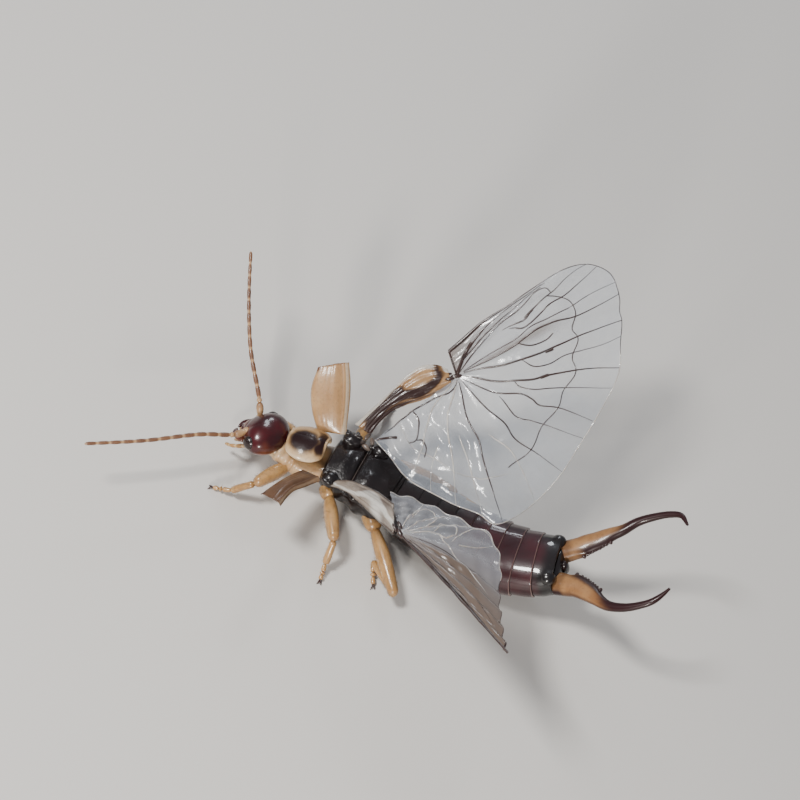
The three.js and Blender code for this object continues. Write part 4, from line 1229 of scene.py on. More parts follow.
@dataclass
class Thorax:
    """The black middle and hind thorax, one skin with its raised plates, side plates and wing knobs."""

    start: float = 0.1
    end: float = 3.2
    halves: Row = (0.95, 1.13, 1.25, 1.32, 1.41, 1.45, 1.4, 1.34)
    ups: Row = (0.4, 0.52, 0.59, 0.61, 0.71, 0.7, 0.65, 0.6)
    downs: Row = (0.66, 0.82, 0.91, 0.91, 0.99, 1.0, 0.94, 0.88)
    grooves: tuple[Row, ...] = ((-0.1, 1.36, 0.06), (-0.08, 2.98, 0.05))
    humps: tuple[Row, ...] = (
        (0.09, 0.8, 0.26, 0, 0.5), (0.07, 1.18, 0.1, 0, 0.26), (0.08, 1.9, 0.28, 0.46, 0.3),
        (0.06, 2.6, 0.2, 0, 0.4),
    )
    lowest: float = 0.25
    knobs: tuple[Ball, ...] = (
        ((1.3, -1.0, 1.95), (0.42, 0.38, 0.36)),
        ((1.3, 0.92, 1.74), (0.42, 0.36, 0.32)),
        ((0.12, -1.1, 1.92), (0.42, 0.38, 0.36)),
        ((0.12, 0.98, 1.74), (0.42, 0.36, 0.32)),
    )
    lump: Place = (0.27, 0.15, 0.12)
    joint: Place = (0.22, 0.1, 0.075)
    joints: Knots = (
        (1.18, -1.12, 2.24), (0.96, -1.02, 2.12), (0.84, -1.3, 2.26), (0.6, -1.22, 2.2), (0.72, -0.96, 2.04),
        (0.42, -1.05, 2.1), (1.02, 1.06, 1.98), (0.8, 1.12, 1.98), (0.62, 0.98, 1.9),
    )

    def skin(self, draft: Draft) -> None:
        """Adds the skin, with grooves between the plates and humps on them.

        Args:
            draft: What it is added to.
        """
        t = np.linspace(0, 1, 104)
        d = self.start + (self.end - self.start) * t
        end = np.clip(np.minimum(t, 1 - t) / 0.035, 0.25, 1) ** 0.5
        half, up, down = (table(v, t) * end for v in (self.halves, self.ups, self.downs))
        p = tube_rings(BODY_LINE, d, half, up, 104, down, 2.5)
        left, top, y, z = offsets(BODY_LINE, d, p)
        over, d = smooth(0.0, 0.35, z), d[:, None]
        shape = sum(high * bump(d, at, long) for high, at, long in self.grooves) * np.ones_like(y)
        for high, at, long, aside, wide in self.humps:
            shape += high * bump(d, at, long) * bump(np.abs(y), aside, wide)
        shape -= 0.07 * bump(y, 0, 0.07) * smooth(1.45, 1.6, d) * smooth(2.7, 2.4, d)
        shape -= 0.05 * bump(np.abs(y) - 0.25 - 0.35 * (d - 1.5), 0, 0.06) * bump(d, 2.1, 0.5)
        flank = 0.05 * np.sin(d * 7.5 + z * 2.5) * smooth(0.25, -0.1, z) * smooth(-0.75, -0.4, z)
        p = p + left[:, None] * (np.sign(y) * flank)[..., None] + top[:, None] * (over * shape)[..., None]
        p[..., 2] = np.maximum(p[..., 2], self.lowest)
        draft.loft(p, pale=np.clip(0.4 * bump(d, 1.36, 0.04) * over, 0, 1))

    def knob(self, draft: Draft, at: Place, halves: Place) -> None:
        """Adds the lumpy knob that a wing grows from.

        Args:
            draft: What it is added to.
            at: Its middle.
            halves: Its half sizes.
        """
        middle, size = np.array(at), np.array(halves)
        rows = ellipsoid(Frame.level(at), (0, 0, 0), halves, 22)
        swell = 1 + 0.03 * np.sin(7 * rows[..., 0] + 5 * rows[..., 1]) + 0.02 * np.sin(19 * rows[..., 2])
        draft.loft(middle + (rows - middle) * 0.94 * swell[..., None])
        for j in range(4):
            turn = 1.5 * j + at[0]
            lean = np.array([math.cos(turn), math.sin(turn), 0.7])
            frame = Frame.turned(middle + lean * size * 0.56, 51.0 * j, 0, 15)
            draft.ball(frame, (0, 0, 0), np.array(self.lump) * (1 - 0.1 * (j % 3)), 12)

    def build(self) -> None:
        """Builds the skin, the wings' knobs and their small joints."""
        draft = Draft()
        self.skin(draft)
        for at, halves in self.knobs:
            self.knob(draft, at, halves)
        for i, at in enumerate(self.joints):
            size = np.array(self.joint) * (1 - 0.06 * (i % 4))
            draft.ball(Frame.turned(at, 40.0 * i, 0, 20), (0, 0, 0), size, 10, pale=0.3 + 0.08 * (i % 5))
        fit(draft.piece("thorax_skin", THORAX_BLACK), "thorax", "mesothorax", "metathorax")


@dataclass
class Abdomen:
    """The ringed abdomen, one skin of overlapping plates, with the broad last plate and the pygidium."""

    first: float = 3.15
    tergites: int = 9
    tergite: float = 0.78
    halves: Row = (1.34, 1.42, 1.48, 1.52, 1.55, 1.55, 1.5, 1.42, 1.32, 1.2)
    ups: Row = (0.72, 0.85, 0.92, 0.96, 1.0, 1.0, 0.97, 0.9, 0.82, 0.7)
    downs: Row = (0.8, 0.92, 1.0, 1.06, 1.1, 1.1, 1.05, 0.95, 0.85, 0.7)
    shares: Row = (0.0, 0.06, 0.16, 0.3, 0.45, 0.6, 0.74, 0.85, 0.93, 0.975, 1.0, 1.006)
    tuck: float = 0.05
    lowest: float = 0.004
    soft_end: Ball = ((-0.02, 0, -0.05), (0.24, 1.02, 0.55))
    small_plate: Ball = ((0.24, 0, 0.05), (0.16, 0.22, 0.34))
    side_knob: Ball = ((-0.2, 0.86, 0.42), (0.32, 0.3, 0.27))

    @property
    def end(self) -> float:
        """The distance of the abdomen's end along the body."""
        return self.first + self.tergites * self.tergite

    def skin(self, draft: Draft) -> None:
        """Adds the rings as one skin: each plate flares to its hind edge and tucks in under it.

        Args:
            draft: What they are added to.
        """
        number = np.repeat(np.arange(self.tergites), len(self.shares))
        share = np.tile(self.shares, self.tergites)
        last = number == self.tergites - 1
        d = self.first + (number + np.minimum(share, 1.0)) * self.tergite
        d = d - np.where(share > 1.0, self.tuck, 0.0) + np.where(share == 0.0, -0.04, 0.0)
        t = (d - self.first) / (self.tergites * self.tergite)
        flare = 0.97 + 0.06 * np.clip(share, 0, 1) ** 0.8 - 0.03 * (share >= 1.0) - 0.03 * (share > 1.0)
        swell = 0.98 + 0.04 * np.sin(np.pi * np.clip(share, 0, 1)) - 0.05 * (share >= 1.0)
        flare = np.where(last, swell, flare)
        half, up, down = (table(v, t) * flare for v in (self.halves, self.ups, self.downs))
        p = tube_rings(BODY_LINE, d, half, up, 96, down, 2.3)
        left, top, y, z = offsets(BODY_LINE, d, p)
        over = smooth(-0.1, 0.4, z)
        share, number, last = share[:, None], number[:, None], last[:, None]
        glands = (number == 1) | (number == 2)
        knob = 0.09 * bump(share, 0.55, 0.22) * bump(np.abs(y), 1.3, 0.2) * bump(z, 0.3, 0.2) * glands
        corner = 0.15 * bump(np.abs(y), 0.92, 0.2) * smooth(0.35, 0.8, share) * last * over
        p = p + left[:, None] * (np.sign(y) * knob)[..., None] + top[:, None] * corner[..., None]
        p[..., 2] = np.maximum(p[..., 2], self.lowest)
        # The pale hind rims fade out over the first plates, under the painted shade.
        edge = smooth(0.93, 0.985, share) * 0.75 * (1 - last) * smooth(2.0, 5.0, number + share)
        edge = edge + smooth(-0.05, -0.3, z) * smooth(-0.6, -0.35, z) * 0.4
        dark = 0.75 * smooth(0.06, 0.0, share) + 0.95 * last * smooth(0.1, 0.7, share)
        # Painted shade: the first plates, under the wings, go near black. The last plate's dark end and sides
        # are its own tone.
        dark = dark + 0.9 * smooth(4.6, 2.4, number + share) + 0.8 * last * bump(np.abs(y), 0.95, 0.3)
        draft.loft(p, edge=np.clip(edge, 0, 1), dark=np.clip(dark, 0, 1))

    def tail(self, draft: Draft) -> None:
        """Adds the soft end, the small plate between the forceps and the knobs beside it.

        Args:
            draft: What they are added to.
        """
        end = np.array([self.end])
        left, top = sides_of(BODY_LINE, end)
        frame = Frame(BODY_LINE.at(end)[0], BODY_LINE.tangent(end)[0], left[0], top[0])
        draft.ball(frame, *self.soft_end, 20, dark=0.95)
        draft.ball(frame, *self.small_plate, 16, dark=0.8)
        middle, halves = self.side_knob
        for _, side in SIDES:
            draft.ball(frame, np.multiply(middle, (1, side, 1)), halves, 18, dark=1.0)

    def build(self) -> None:
        """Builds the abdomen."""
        draft = Draft()
        self.skin(draft)
        self.tail(draft)
        piece = draft.piece("abdomen_skin", ABDOMEN_MAROON)
        fit(piece, "abdomen", "abdomen_base", "abdomen_middle", "abdomen_end")


@dataclass
class Forceps:
    """Both branches of the forceps, broad and toothed at the base, dark and round to the tips."""

    origin: Points
    turn: Place = (190.0, -38.0, 5.0)
    start: float = 0.62
    root: float = 0.55
    root_in: float = 0.14
    halves: Row = (0.46, 0.42, 0.35, 0.27, 0.2, 0.165, 0.14, 0.12, 0.05)
    flats: Row = (0.34, 0.31, 0.25, 0.2, 0.165, 0.145, 0.125, 0.1, 0.04)
    left_lengths: Row = (0, 0.24, 0.65, 1.12, 1.72, 2.4, 2.97, 3.5, 3.9, 4.12)
    left_spreads: Row = (0.86, 0.92, 1.14, 1.44, 1.82, 1.94, 1.89, 1.74, 1.45, 1.22)
    right_lengths: Row = (0, 0.35, 0.7, 1.2, 1.75, 2.35, 3.0, 3.65, 4.1, 4.42)
    right_spreads: Row = (0.8, 0.96, 1.08, 1.29, 1.47, 1.8, 1.97, 2.03, 1.94, 1.5)
    teeth_at: Row = (0.13, 0.16, 0.185, 0.21, 0.235, 0.26, 0.285, 0.31, 0.35)
    teeth_size: Row = (1.1, 0.8, 0.7, 0.8, 0.7, 0.8, 0.75, 0.8, 1.0)
    tooth: float = 0.085
    tooth_out: float = 0.045

    def branch(self, label: str, side: int, lengths: Row, spreads: Row, frame: Frame) -> None:
        """Builds one branch and its teeth.

        Args:
            label: left or right.
            side: -1 for the left branch and 1 for the right one, across the tailward frame.
            lengths: The path's distances behind the forceps' start.
            spreads: Its distances from the middle line.
            frame: The forceps' frame.
        """
        knots = [(self.start + x, side * s, 0.0) for x, s in zip(lengths, spreads)]
        knots = [(self.start - self.root, side * (spreads[0] - self.root_in), 0.0)] + knots
        path = Path(frame.place(np.array(knots)))
        t = np.linspace(0, 1, 120)
        d = t * path.length
        half, flat = table(self.halves, t), table(self.flats, t)
        rings = tube_rings(path, d, half, flat, 44, None, 2.2, frame.z)
        left, _, y, _ = offsets(path, d, rings, frame.z)
        sign = -side * (1 if np.dot(left[0], frame.y) > 0 else -1)
        inward = np.clip(y * sign / np.maximum(half[:, None], 0.02), -1, 1)
        t = t[:, None]
        blade = smooth(0.08, 0.16, t) * smooth(0.42, 0.3, t) * smooth(0.35, 0.95, inward)
        rings = rings + (left * sign)[:, None] * (0.1 * blade)[..., None]
        above = np.sign(rings @ frame.z - (path.at(d) @ frame.z)[:, None])
        rings = rings - frame.z * (0.03 * blade * above)[..., None]
        tip = smooth(0.3, 0.54, t + 0.06 * inward)
        dark = smooth(0.35, 0.7, inward) * smooth(0.06, 0.16, t) + 0.5 * smooth(0.1, 0.05, t)
        dark = dark + 0.6 * smooth(-0.75, -1.0, inward)
        draft = Draft()
        draft.loft(rings, tip=tip, dark=np.clip(dark, 0, 1))
        fit(draft.piece(f"forceps_branch_{label}", FORCEPS_HORN), "forceps", f"forceps_{label}")
        where = np.array(self.teeth_at)
        out = sides_of(path, where * path.length, frame.z)[0] * sign
        line = path.at(where * path.length) + out * (table(self.halves, where) + self.tooth_out)[:, None]
        line = guide(f"teeth_{label}", [line], out=[out], size=[self.teeth_size])
        fit(Tool.TEETH.grow(line, f"forceps_teeth_{label}", HORN_DARK, Radius=self.tooth * MM), "forceps")

    def build(self) -> None:
        """Builds both branches."""
        frame = Frame.turned(self.origin, *self.turn)
        self.branch("left", -1, self.left_lengths, self.left_spreads, frame)
        self.branch("right", 1, self.right_lengths, self.right_spreads, frame)


@dataclass
class Leg:
    """One leg: hip, thigh, shin, three foot joints and two claws."""

    label: str
    coxa: Place
    knee: Place
    ankle: Place
    foot: tuple[float, float]
    hip: Optional[Place] = None
    hip_share: float = 0.22
    hip_half: float = 0.33
    thigh_half: float = 0.27
    shin_half: float = 0.15
    foot_half: float = 0.095
    highest_ankle: float = 0.34
    claw_halves: Row = (0.035, 0.03, 0.006)
    bristles_per_m2: float = 6.5e7
    bristle_length: float = 0.13
    bristle_half: float = 0.006
    bristle_lean: float = 0.9
    lowest_bristle: float = 0.22

    def limb(self, draft: Draft, a: Points, b: Points, profile: Row, half: float, bow: float = 0.0,
             deep: float = 1.0, dark: Row = (0.0, 0.0)) -> None:
        """Adds one joint of the leg, rounded at both ends.

        Args:
            draft: What it is added to.
            a: Its start.
            b: Its end.
            profile: How its half width changes along it.
            half: Its half width.
            bow: How far its middle rises off the straight line.
            deep: Its height over its width.
            dark: How dark its start and its end are.
        """
        path = Path([a, (a + b) / 2 + UP * bow, b])
        t = (1 - np.cos(np.linspace(0, np.pi, 30))) / 2
        end = np.clip(np.minimum(t, 1 - t) * path.length / (half * 0.8), 0, 1)
        r = half * table(profile, t) * np.sqrt(np.clip(1 - (1 - end) ** 2, 0.05, 1))
        tone = dark[0] * smooth(0.16, 0.0, t) + dark[1] * smooth(0.86, 1.0, t)
        draft.loft(tube_rings(path, t * path.length, r, r * deep, 22), dark=tone[:, None])

    def claws(self, draft: Draft, end: Points, heading: Points) -> None:
        """Adds the two claws, their points resting on the floor.

        Args:
            draft: What they are added to.
            end: The foot's end.
            heading: The foot's direction.
        """
        for _, side in SIDES:
            aside = unit(np.cross(UP, heading)) * side
            middle = end + heading * 0.12 + aside * 0.05 + UP * 0.01
            claw = Path([end, middle, end + heading * 0.2 + aside * 0.1 - UP * 0.075])
            t = np.linspace(0, 1, 10)
            r = table(self.claw_halves, t)
            draft.loft(tube_rings(claw, t * claw.length, r, r, 8), 1)

    def build(self) -> None:
        """Builds the leg, its claws and its bristles."""
        a, b, c = (np.array(p, float) for p in (self.coxa, self.knee, self.ankle))
        d = np.array([*self.foot, self.foot_half + 0.005])
        hip = a + (b - a) * self.hip_share if self.hip is None else np.array(self.hip, float)
        c = c + (d - c) * 0.08
        c[2] = min(c[2], self.highest_ankle)
        first, second = c + (d - c) * 0.48, c + (d - c) * 0.66
        thigh = (0.66, 0.92, 1.05, 1.02, 0.9, 0.74)
        draft = Draft()
        for joint in (
            (a - unit(hip - a) * 0.2, hip, (0.9, 1.1, 1.0, 0.8), self.hip_half, 0.0, 1.0, (0.5, 0.2)),
            (hip - unit(b - hip) * 0.14, b, thigh, self.thigh_half, 0.05, 1.12, (0.1, 0.28)),
            (b, c, (0.95, 0.92, 0.98, 1.0, 0.86), self.shin_half, 0.03, 1.0, (0.35, 0.3)),
            (c, first, (0.85, 0.95, 1.0, 0.95), self.foot_half, 0.0, 1.0, (0.4, 0.3)),
            (first, second, (0.8, 1.1, 1.2, 1.0), self.foot_half, 0.0, 0.9, (0.4, 0.3)),
            (second, d, (0.7, 0.85, 0.95, 1.0), self.foot_half, 0.0, 1.0, (0.3, 0.5)),
        ):
            self.limb(draft, *joint)
        self.claws(draft, d, unit(d - c))
        for part in draft.points:
            part[:, 2] = np.maximum(part[:, 2], 0.0)
        piece = draft.piece(f"leg_skin_{self.label}", TAN_SKIN, HORN_DARK)
        fit(piece, "leg", f"leg_{self.label}")
        hairs = Tool.BRISTLES.grow(
            piece, f"leg_bristles_{self.label}", BRISTLE_BROWN, Density=self.bristles_per_m2,
            Length=self.bristle_length * MM, Radius=self.bristle_half * MM,
            Lean=tuple(float(v) for v in unit(c - b) * self.bristle_lean),
            Seed=len(self.label), Lowest=self.lowest_bristle * MM,
        )
        fit(hairs, "leg")


LEGS = (
    Leg("front_left", (2.95, 0.5, 1.0), (3.84, 2.26, 1.12), (4.52, 2.5, 0.42), (5.29, 2.6)),
    Leg("mid_left", (1.3, 0.85, 1.0), (0.08, 2.95, 1.15), (0.02, 3.5, 0.45), (-0.1, 4.12)),
    Leg("hind_left", (-0.6, 1.0, 0.95), (-2.92, 3.68, 0.75), (-1.5, 2.4, 0.42), (-1.95, 3.25)),
    Leg("front_right", (2.9, -0.45, 0.95), (4.3, -1.15, 0.58), (4.85, -1.1, 0.36), (5.2, -0.8)),
    Leg("mid_right", (1.3, -0.85, 1.0), (1.1, -2.95, 1.15), (0.95, -3.9, 0.45), (0.75, -4.9)),
    Leg("hind_right", (-0.45, -0.95, 0.95), (-3.2, -1.92, 0.5), (-4.9, -1.7, 0.38), (-5.8, -1.75),
        (-0.6, -1.85, 0.7)),
)


def raised(middle: Points, height: Points) -> Points:
    """A middle surface whose upper side is raised by a height."""
    out = normals(middle)
    return middle + out * np.sign(out[..., 2].mean()) * height[..., None]


@dataclass
class Plate:
    """A thin leathery plate between a front edge and a back edge: a wing case or a wing's base."""

    label: str
    front: Knots
    back: Knots
    bow: float
    thick: float = 0.07

    def grid(self, rows: int, columns: int) -> tuple[Points, Points, Points]:
        """The plate's middle surface.

        Args:
            rows: Grid rows from root to tip.
            columns: Grid columns from back to front.

        Returns:
            The points, the rows' shares from the root and the columns' shares from the back edge.
        """
        t = np.linspace(0, 1, rows)
        k = np.linspace(0, 1, columns)[None]
        b, a = (Path(edge).share(t) for edge in (self.back, self.front))
        t = t[:, None]
        out = unit(np.cross(unit(np.gradient((a + b) / 2, axis=0)), unit(a - b)))
        out = out * np.sign(out[:, 2:3].sum() or 1.0)
        rise = self.bow * np.sin(np.pi * k) * np.sin(np.pi * t) ** 0.6
        return b[:, None] + (a - b)[:, None] * k[..., None] + rise[..., None] * out[:, None], t, k


@dataclass
class WingCase(Plate):
    """A short wing case: tan leather with faint ribs, a folded inner strip and a darker tip corner."""

    finish: Cuticle = WING_CASE

    def build(self) -> None:
        """Builds the case."""
        middle, t, k = self.grid(72, 56)
        curl = 0.1 * smooth(0.14, 0.0, k) + 0.06 * smooth(0.93, 1.0, k)
        ribs = 0.0022 * np.sin(k * 46) * smooth(0.02, 0.2, t) + 0.025 * bump(k, 0.17, 0.02)
        ribs = ribs + 0.03 * bump(k, 0.35 + 0.06 * t, 0.1) * smooth(0.1, 0.4, t)
        thick = self.thick * (1 - 0.55 * smooth(0.8, 1.0, np.maximum(np.abs(2 * k - 1), t)))
        pale = 0.9 * bump(k, 0.09, 0.06) + 0.5 * smooth(0.9, 1.0, k) + 0.3 * smooth(0.25, 0.0, t)
        dark = 0.5 * smooth(0.965, 1.0, t) + 1.2 * bump(k, 0.95, 0.09) * bump(t, 0.97, 0.05)
        dark = dark + 0.16 * smooth(0.8, 0.6, k) * smooth(0.18, 0.26, k)
        dark = dark + 0.45 * smooth(0.97, 1.0, k) + 0.4 * smooth(0.03, 0.0, k) + 0.4 * bump(k, 0.2, 0.02)
        draft = Draft()
        draft.sheet(raised(middle, ribs - curl), thick, pale=np.clip(pale, 0, 1), dark=np.clip(dark, 0, 1))
        fit(draft.piece(f"wing_case_{self.label}", self.finish), "tegmen", f"tegmen_{self.label}")


@dataclass
class WingBase(Plate):
    """The leathery base of a hind wing: a clear front strip, a tan oval plate and a dark band round it. The
    sheen-painted kind is instead a silvery plate with painted glints.
    """

    hub: Place = (0.0, 0.0, 0.0)
    # Paints a silvery sheen and pale painted glints into the plate's colour instead of its own tan pattern.
    painted_sheen: bool = False
    knuckle: Place = (0.24, 0.09, 0.08)
    knuckles: Knots = ((-0.3, -0.1, 0.8), (-0.34, 0.13, 0.7), (-0.02, 0.0, 1.0))

    def tones(self, t: Points, k: Points) -> tuple[Points, Points]:
        """The dark and the pale mark at shares along and across the plate.

        Args:
            t: Shares from the root to the hub.
            k: Shares from the back edge to the front edge.

        Returns:
            The dark mark and the pale one.
        """
        stripes = 0.25 * (0.5 + 0.5 * np.sin(k * 70 + 4 * t)) * smooth(0.5, 0.3, k)
        if self.painted_sheen:
            # Painted highlight: pale glints of reflected light, carried by the pale mark.
            glint = bump(k, 0.5 + 0.3 * np.sin(7 * t), 0.16) + 0.8 * bump(t, 0.72, 0.12) * smooth(0.1, 0.4, k)
            dark = 0.8 * bump(k, 0.98, 0.05) + 0.5 * stripes + 0.7 * smooth(0.05, 0.0, k)
            return dark + 0.4 * bump(k, 0.2, 0.1) * smooth(0.2, 0.5, t), 0.9 * glint
        line = table((0.5, 0.52, 0.58, 0.64, 0.56, 0.36, 0.3, 0.52, 0.9), t)
        width = table((0.36, 0.36, 0.34, 0.3, 0.28, 0.22, 0.15, 0.17, 0.14), t)
        wavy = np.abs(k - line) / width + 0.08 * np.sin(17 * t + 9 * k)
        band = smooth(1.2, 0.75, wavy) * smooth(0.0, 0.1, t) * smooth(0.97, 0.9, t)
        wrap = bump(t, 0.885, 0.04) * smooth(0.4, 0.55, k)
        oval = smooth(1.1, 0.85, np.hypot((t - 0.7) / 0.17, (k - 0.66) / 0.25))
        strip = smooth(0.82, 0.92, k + 0.1 * smooth(0.5, 0.2, t) + 0.02 * np.sin(9 * t))
        strip = strip * (1 - oval) * smooth(0.9, 0.84, t)
        low = 0.75 * smooth(0.6, 0.4, t) * smooth(0.6, 0.4, k) + 0.6 * bump(k, 0.08, 0.05)
        tail = smooth(0.92, 0.97, t) * smooth(0.7, 0.85, k)
        dark = np.maximum(band * (1 - 0.96 * oval), wrap) + stripes + low + 0.18 * oval * smooth(0.8, 0.45, k)
        return dark * (1 - 0.85 * strip), np.maximum(strip, tail)

    def hinge(self, draft: Draft, end: Points) -> None:
        """Adds the knuckles of the hinge at the hub.

        Args:
            draft: What they are added to.
            end: The middle of the plate's end.
        """
        hub = np.array(self.hub, float)
        along = unit(hub - end)
        side = unit(np.cross(UP, along))
        frame = Frame(hub, along, side, np.cross(along, side))
        for x, y, size in self.knuckles:
            draft.ball(frame, (x, y, 0), np.array(self.knuckle) * size, 12, 1)

    def build(self) -> None:
        """Builds the base and its hinge."""
        middle, t, k = self.grid(96, 64)
        dark, pale = self.tones(t, k)
        ribs = 0.03 * np.clip(dark, 0, 1) + 0.01 * np.sin(k * 30 + t * 2) + 0.008 * np.sin(t * 31 + k * 9)
        middle = raised(middle, ribs)
        thick = self.thick * (0.45 + 0.55 * np.clip(dark + smooth(0.7, 0.5, k), 0, 1))
        draft = Draft()
        draft.sheet(middle, thick, dark=np.clip(dark, 0, 1), pale=np.clip(pale, 0, 1))
        self.hinge(draft, middle[-1].mean(0))
        leather = SHEEN_PAINTED_LEATHER if self.painted_sheen else WING_LEATHER
        piece = draft.piece(f"wing_leather_{self.label}", leather, VEIN_BROWN)
        fit(piece, "wing_base", f"wing_base_{self.label}")


Vein = tuple[float, tuple[tuple[float, float], ...]]
Strand = tuple[Points, Points]


@dataclass
class WingFan:
    """The membrane of a hind wing with its veins, spread from the hub to the margin."""

    label: str
    hub: Place
    margin: Knots
    rays: tuple[Row, ...]
    veins: tuple[Vein, ...]
    pale_veins: tuple[Vein, ...]
    camber: float
    pleat: float
    haze: Row
    finish: Membrane
    thick: float = 0.03
    ring: float = 0.72
    ring_span: Optional[tuple[float, float]] = (0.25, 0.7)
    ring_wave: float = 0.018
    ring_thick: float = 0.024
    crumple: float = 0.03
    edge_at: float = 0.997
    edge_dark_to: float = 0.42
    edge_least: float = 0.018
    edge_thick: float = 0.06
    edge_pale: float = 0.02
    front_thick: float = 0.045

    def __post_init__(self) -> None:
        """Samples the margin and finds the wing's general direction."""
        self.rim = Path(self.margin)
        self.centre = np.array(self.hub, float)
        a, b = (self.rim.share(np.array([s]))[0] - self.centre for s in (0.15, 0.75))
        up = unit(np.cross(a, b))
        self.up = up if up[2] > 0 else -up

    def phase(self, u: Points, t: Points) -> Points:
        """How far points lie into the pleats.

        Args:
            u: Shares along the margin.
            t: Shares from the hub to the margin.

        Returns:
            A whole number on a main vein and a half between two.
        """
        steps = np.linspace(0, 1, len(self.rays[0]))
        knots = [np.zeros_like(t), *(np.interp(t, steps, ray) for ray in self.rays), np.ones_like(t)]
        return sum(np.clip((u - a) / (b - a), 0, 1) for a, b in zip(knots, knots[1:]))

    def surface(self, u: Points, t: Points) -> Points:
        """Points of the wing.

        Args:
            u: Shares along the margin.
            t: Shares from the hub to the margin.

        Returns:
            The points, pleated and slightly crumpled.
        """
        u, t = np.broadcast_arrays(np.asarray(u, float), np.asarray(t, float))
        spread = self.rim.share(np.clip(u, 0, 1).reshape(-1)).reshape(*u.shape, 3) - self.centre
        far = np.linalg.norm(spread, axis=-1)
        wave = np.cos(2 * np.pi * self.phase(u, t))
        lift = self.camber * np.sin(np.pi * np.clip(u, 0, 1)) * np.sin(np.pi * t)
        lift = lift + self.pleat * wave * smooth(0.0, 0.7, t) * np.clip(far / 4, 0.2, 1)
        soft = np.sin(u * 61 + t * 9) * np.sin(t * 23 - u * 17) + 0.6 * np.sin(u * 23 + t * 41)
        lift = lift + self.crumple * soft * smooth(0.1, 0.4, t) * (0.35 + smooth(0.6, 0.85, u))
        scallop = 1 - 0.006 * (1 - wave) * smooth(0.9, 1.0, t)
        return self.centre + spread * (t * scallop)[..., None] + lift[..., None] * self.up

    def membrane(self) -> None:
        """Builds the thin skin, smokier near the hub and along the ring, and more creased near the body."""
        u = np.linspace(0, 1, 280)[:, None]
        t = np.linspace(0.02, 1, 96)[None]
        smoke = table(self.haze, u) + 0.5 * smooth(0.2, 0.02, t) + 0.1 * bump(t, self.ring, 0.05)
        smoke = smoke + 0.7 * bump(u, 0.325, 0.02) * smooth(0.06, 0.2, t) * smooth(0.75, 0.5, t)
        fold = 0.25 + 0.75 * smooth(0.68, 0.88, u) * smooth(0.3, 0.6, t)
        draft = Draft()
        draft.sheet(self.surface(u, t), self.thick, smoke=np.clip(smoke, 0, 1), fold=fold)
        fit(draft.piece(f"wing_skin_{self.label}", self.finish), "membrane", f"wing_fan_{self.label}")

    def strand(self, u: Points, t: Points, thick: Points) -> Strand:
        """One line on the skin and how thick it is along it, in metres."""
        u, t, thick = np.broadcast_arrays(u, t, thick)
        return self.surface(u, t), thick * MM

    def traced(self, veins: Sequence[Vein]) -> list[Strand]:
        """The strands of veins, thinner towards the margin and at their starts.

        Args:
            veins: The veins, each with its thickness and its knots.

        Returns:
            One strand for each.
        """
        strands = []
        for weight, knots in veins:
            s = np.linspace(0, 1, 12 * len(knots))
            u, t = (table(row, s) for row in zip(*knots))
            thick = weight * (0.4 + 0.6 * smooth(1.02, 0.5, t)) * (0.5 + 0.5 * smooth(0.0, 0.1, s))
            strands.append(self.strand(u, t, thick))
        return strands

    def tubes(self, name: str, strands: list[Strand], finish: Cuticle) -> None:
        """Builds one net of fine tubes along strands."""
        lines, thick = zip(*strands)
        fit(Tool.VEIN_NET.grow(guide(name, lines, thick=thick), name, finish, Scale=1.0, Sides=7), "membrane")

    def net(self) -> None:
        """Builds the veins as fine tubes that follow the skin, the dark ones and the pale ones."""
        dark = self.traced(self.veins)
        if self.ring_span is not None:
            s = np.linspace(*self.ring_span, 150)
            wave = np.cos(2 * np.pi * self.phase(s, self.ring))
            dark.append(self.strand(s, self.ring + self.ring_wave * wave, self.ring_thick))
        s = np.linspace(0, self.edge_dark_to, 160)
        dark.append(self.strand(s, self.edge_at, self.edge_least + self.edge_thick * smooth(0.16, 0.02, s)))
        dark.append(self.strand(0.0, np.linspace(0.0, 1.0, 60) * 0.98 + 0.02, self.front_thick))
        self.tubes(f"wing_veins_{self.label}", dark, VEIN_BROWN)
        edge = self.strand(np.linspace(self.edge_dark_to, 1, 240), self.edge_at, self.edge_pale)
        self.tubes(f"wing_pale_veins_{self.label}", [*self.traced(self.pale_veins), edge], VEIN_PALE)

    def build(self) -> None:
        """Builds the skin and the veins."""
        self.membrane()
        self.net()


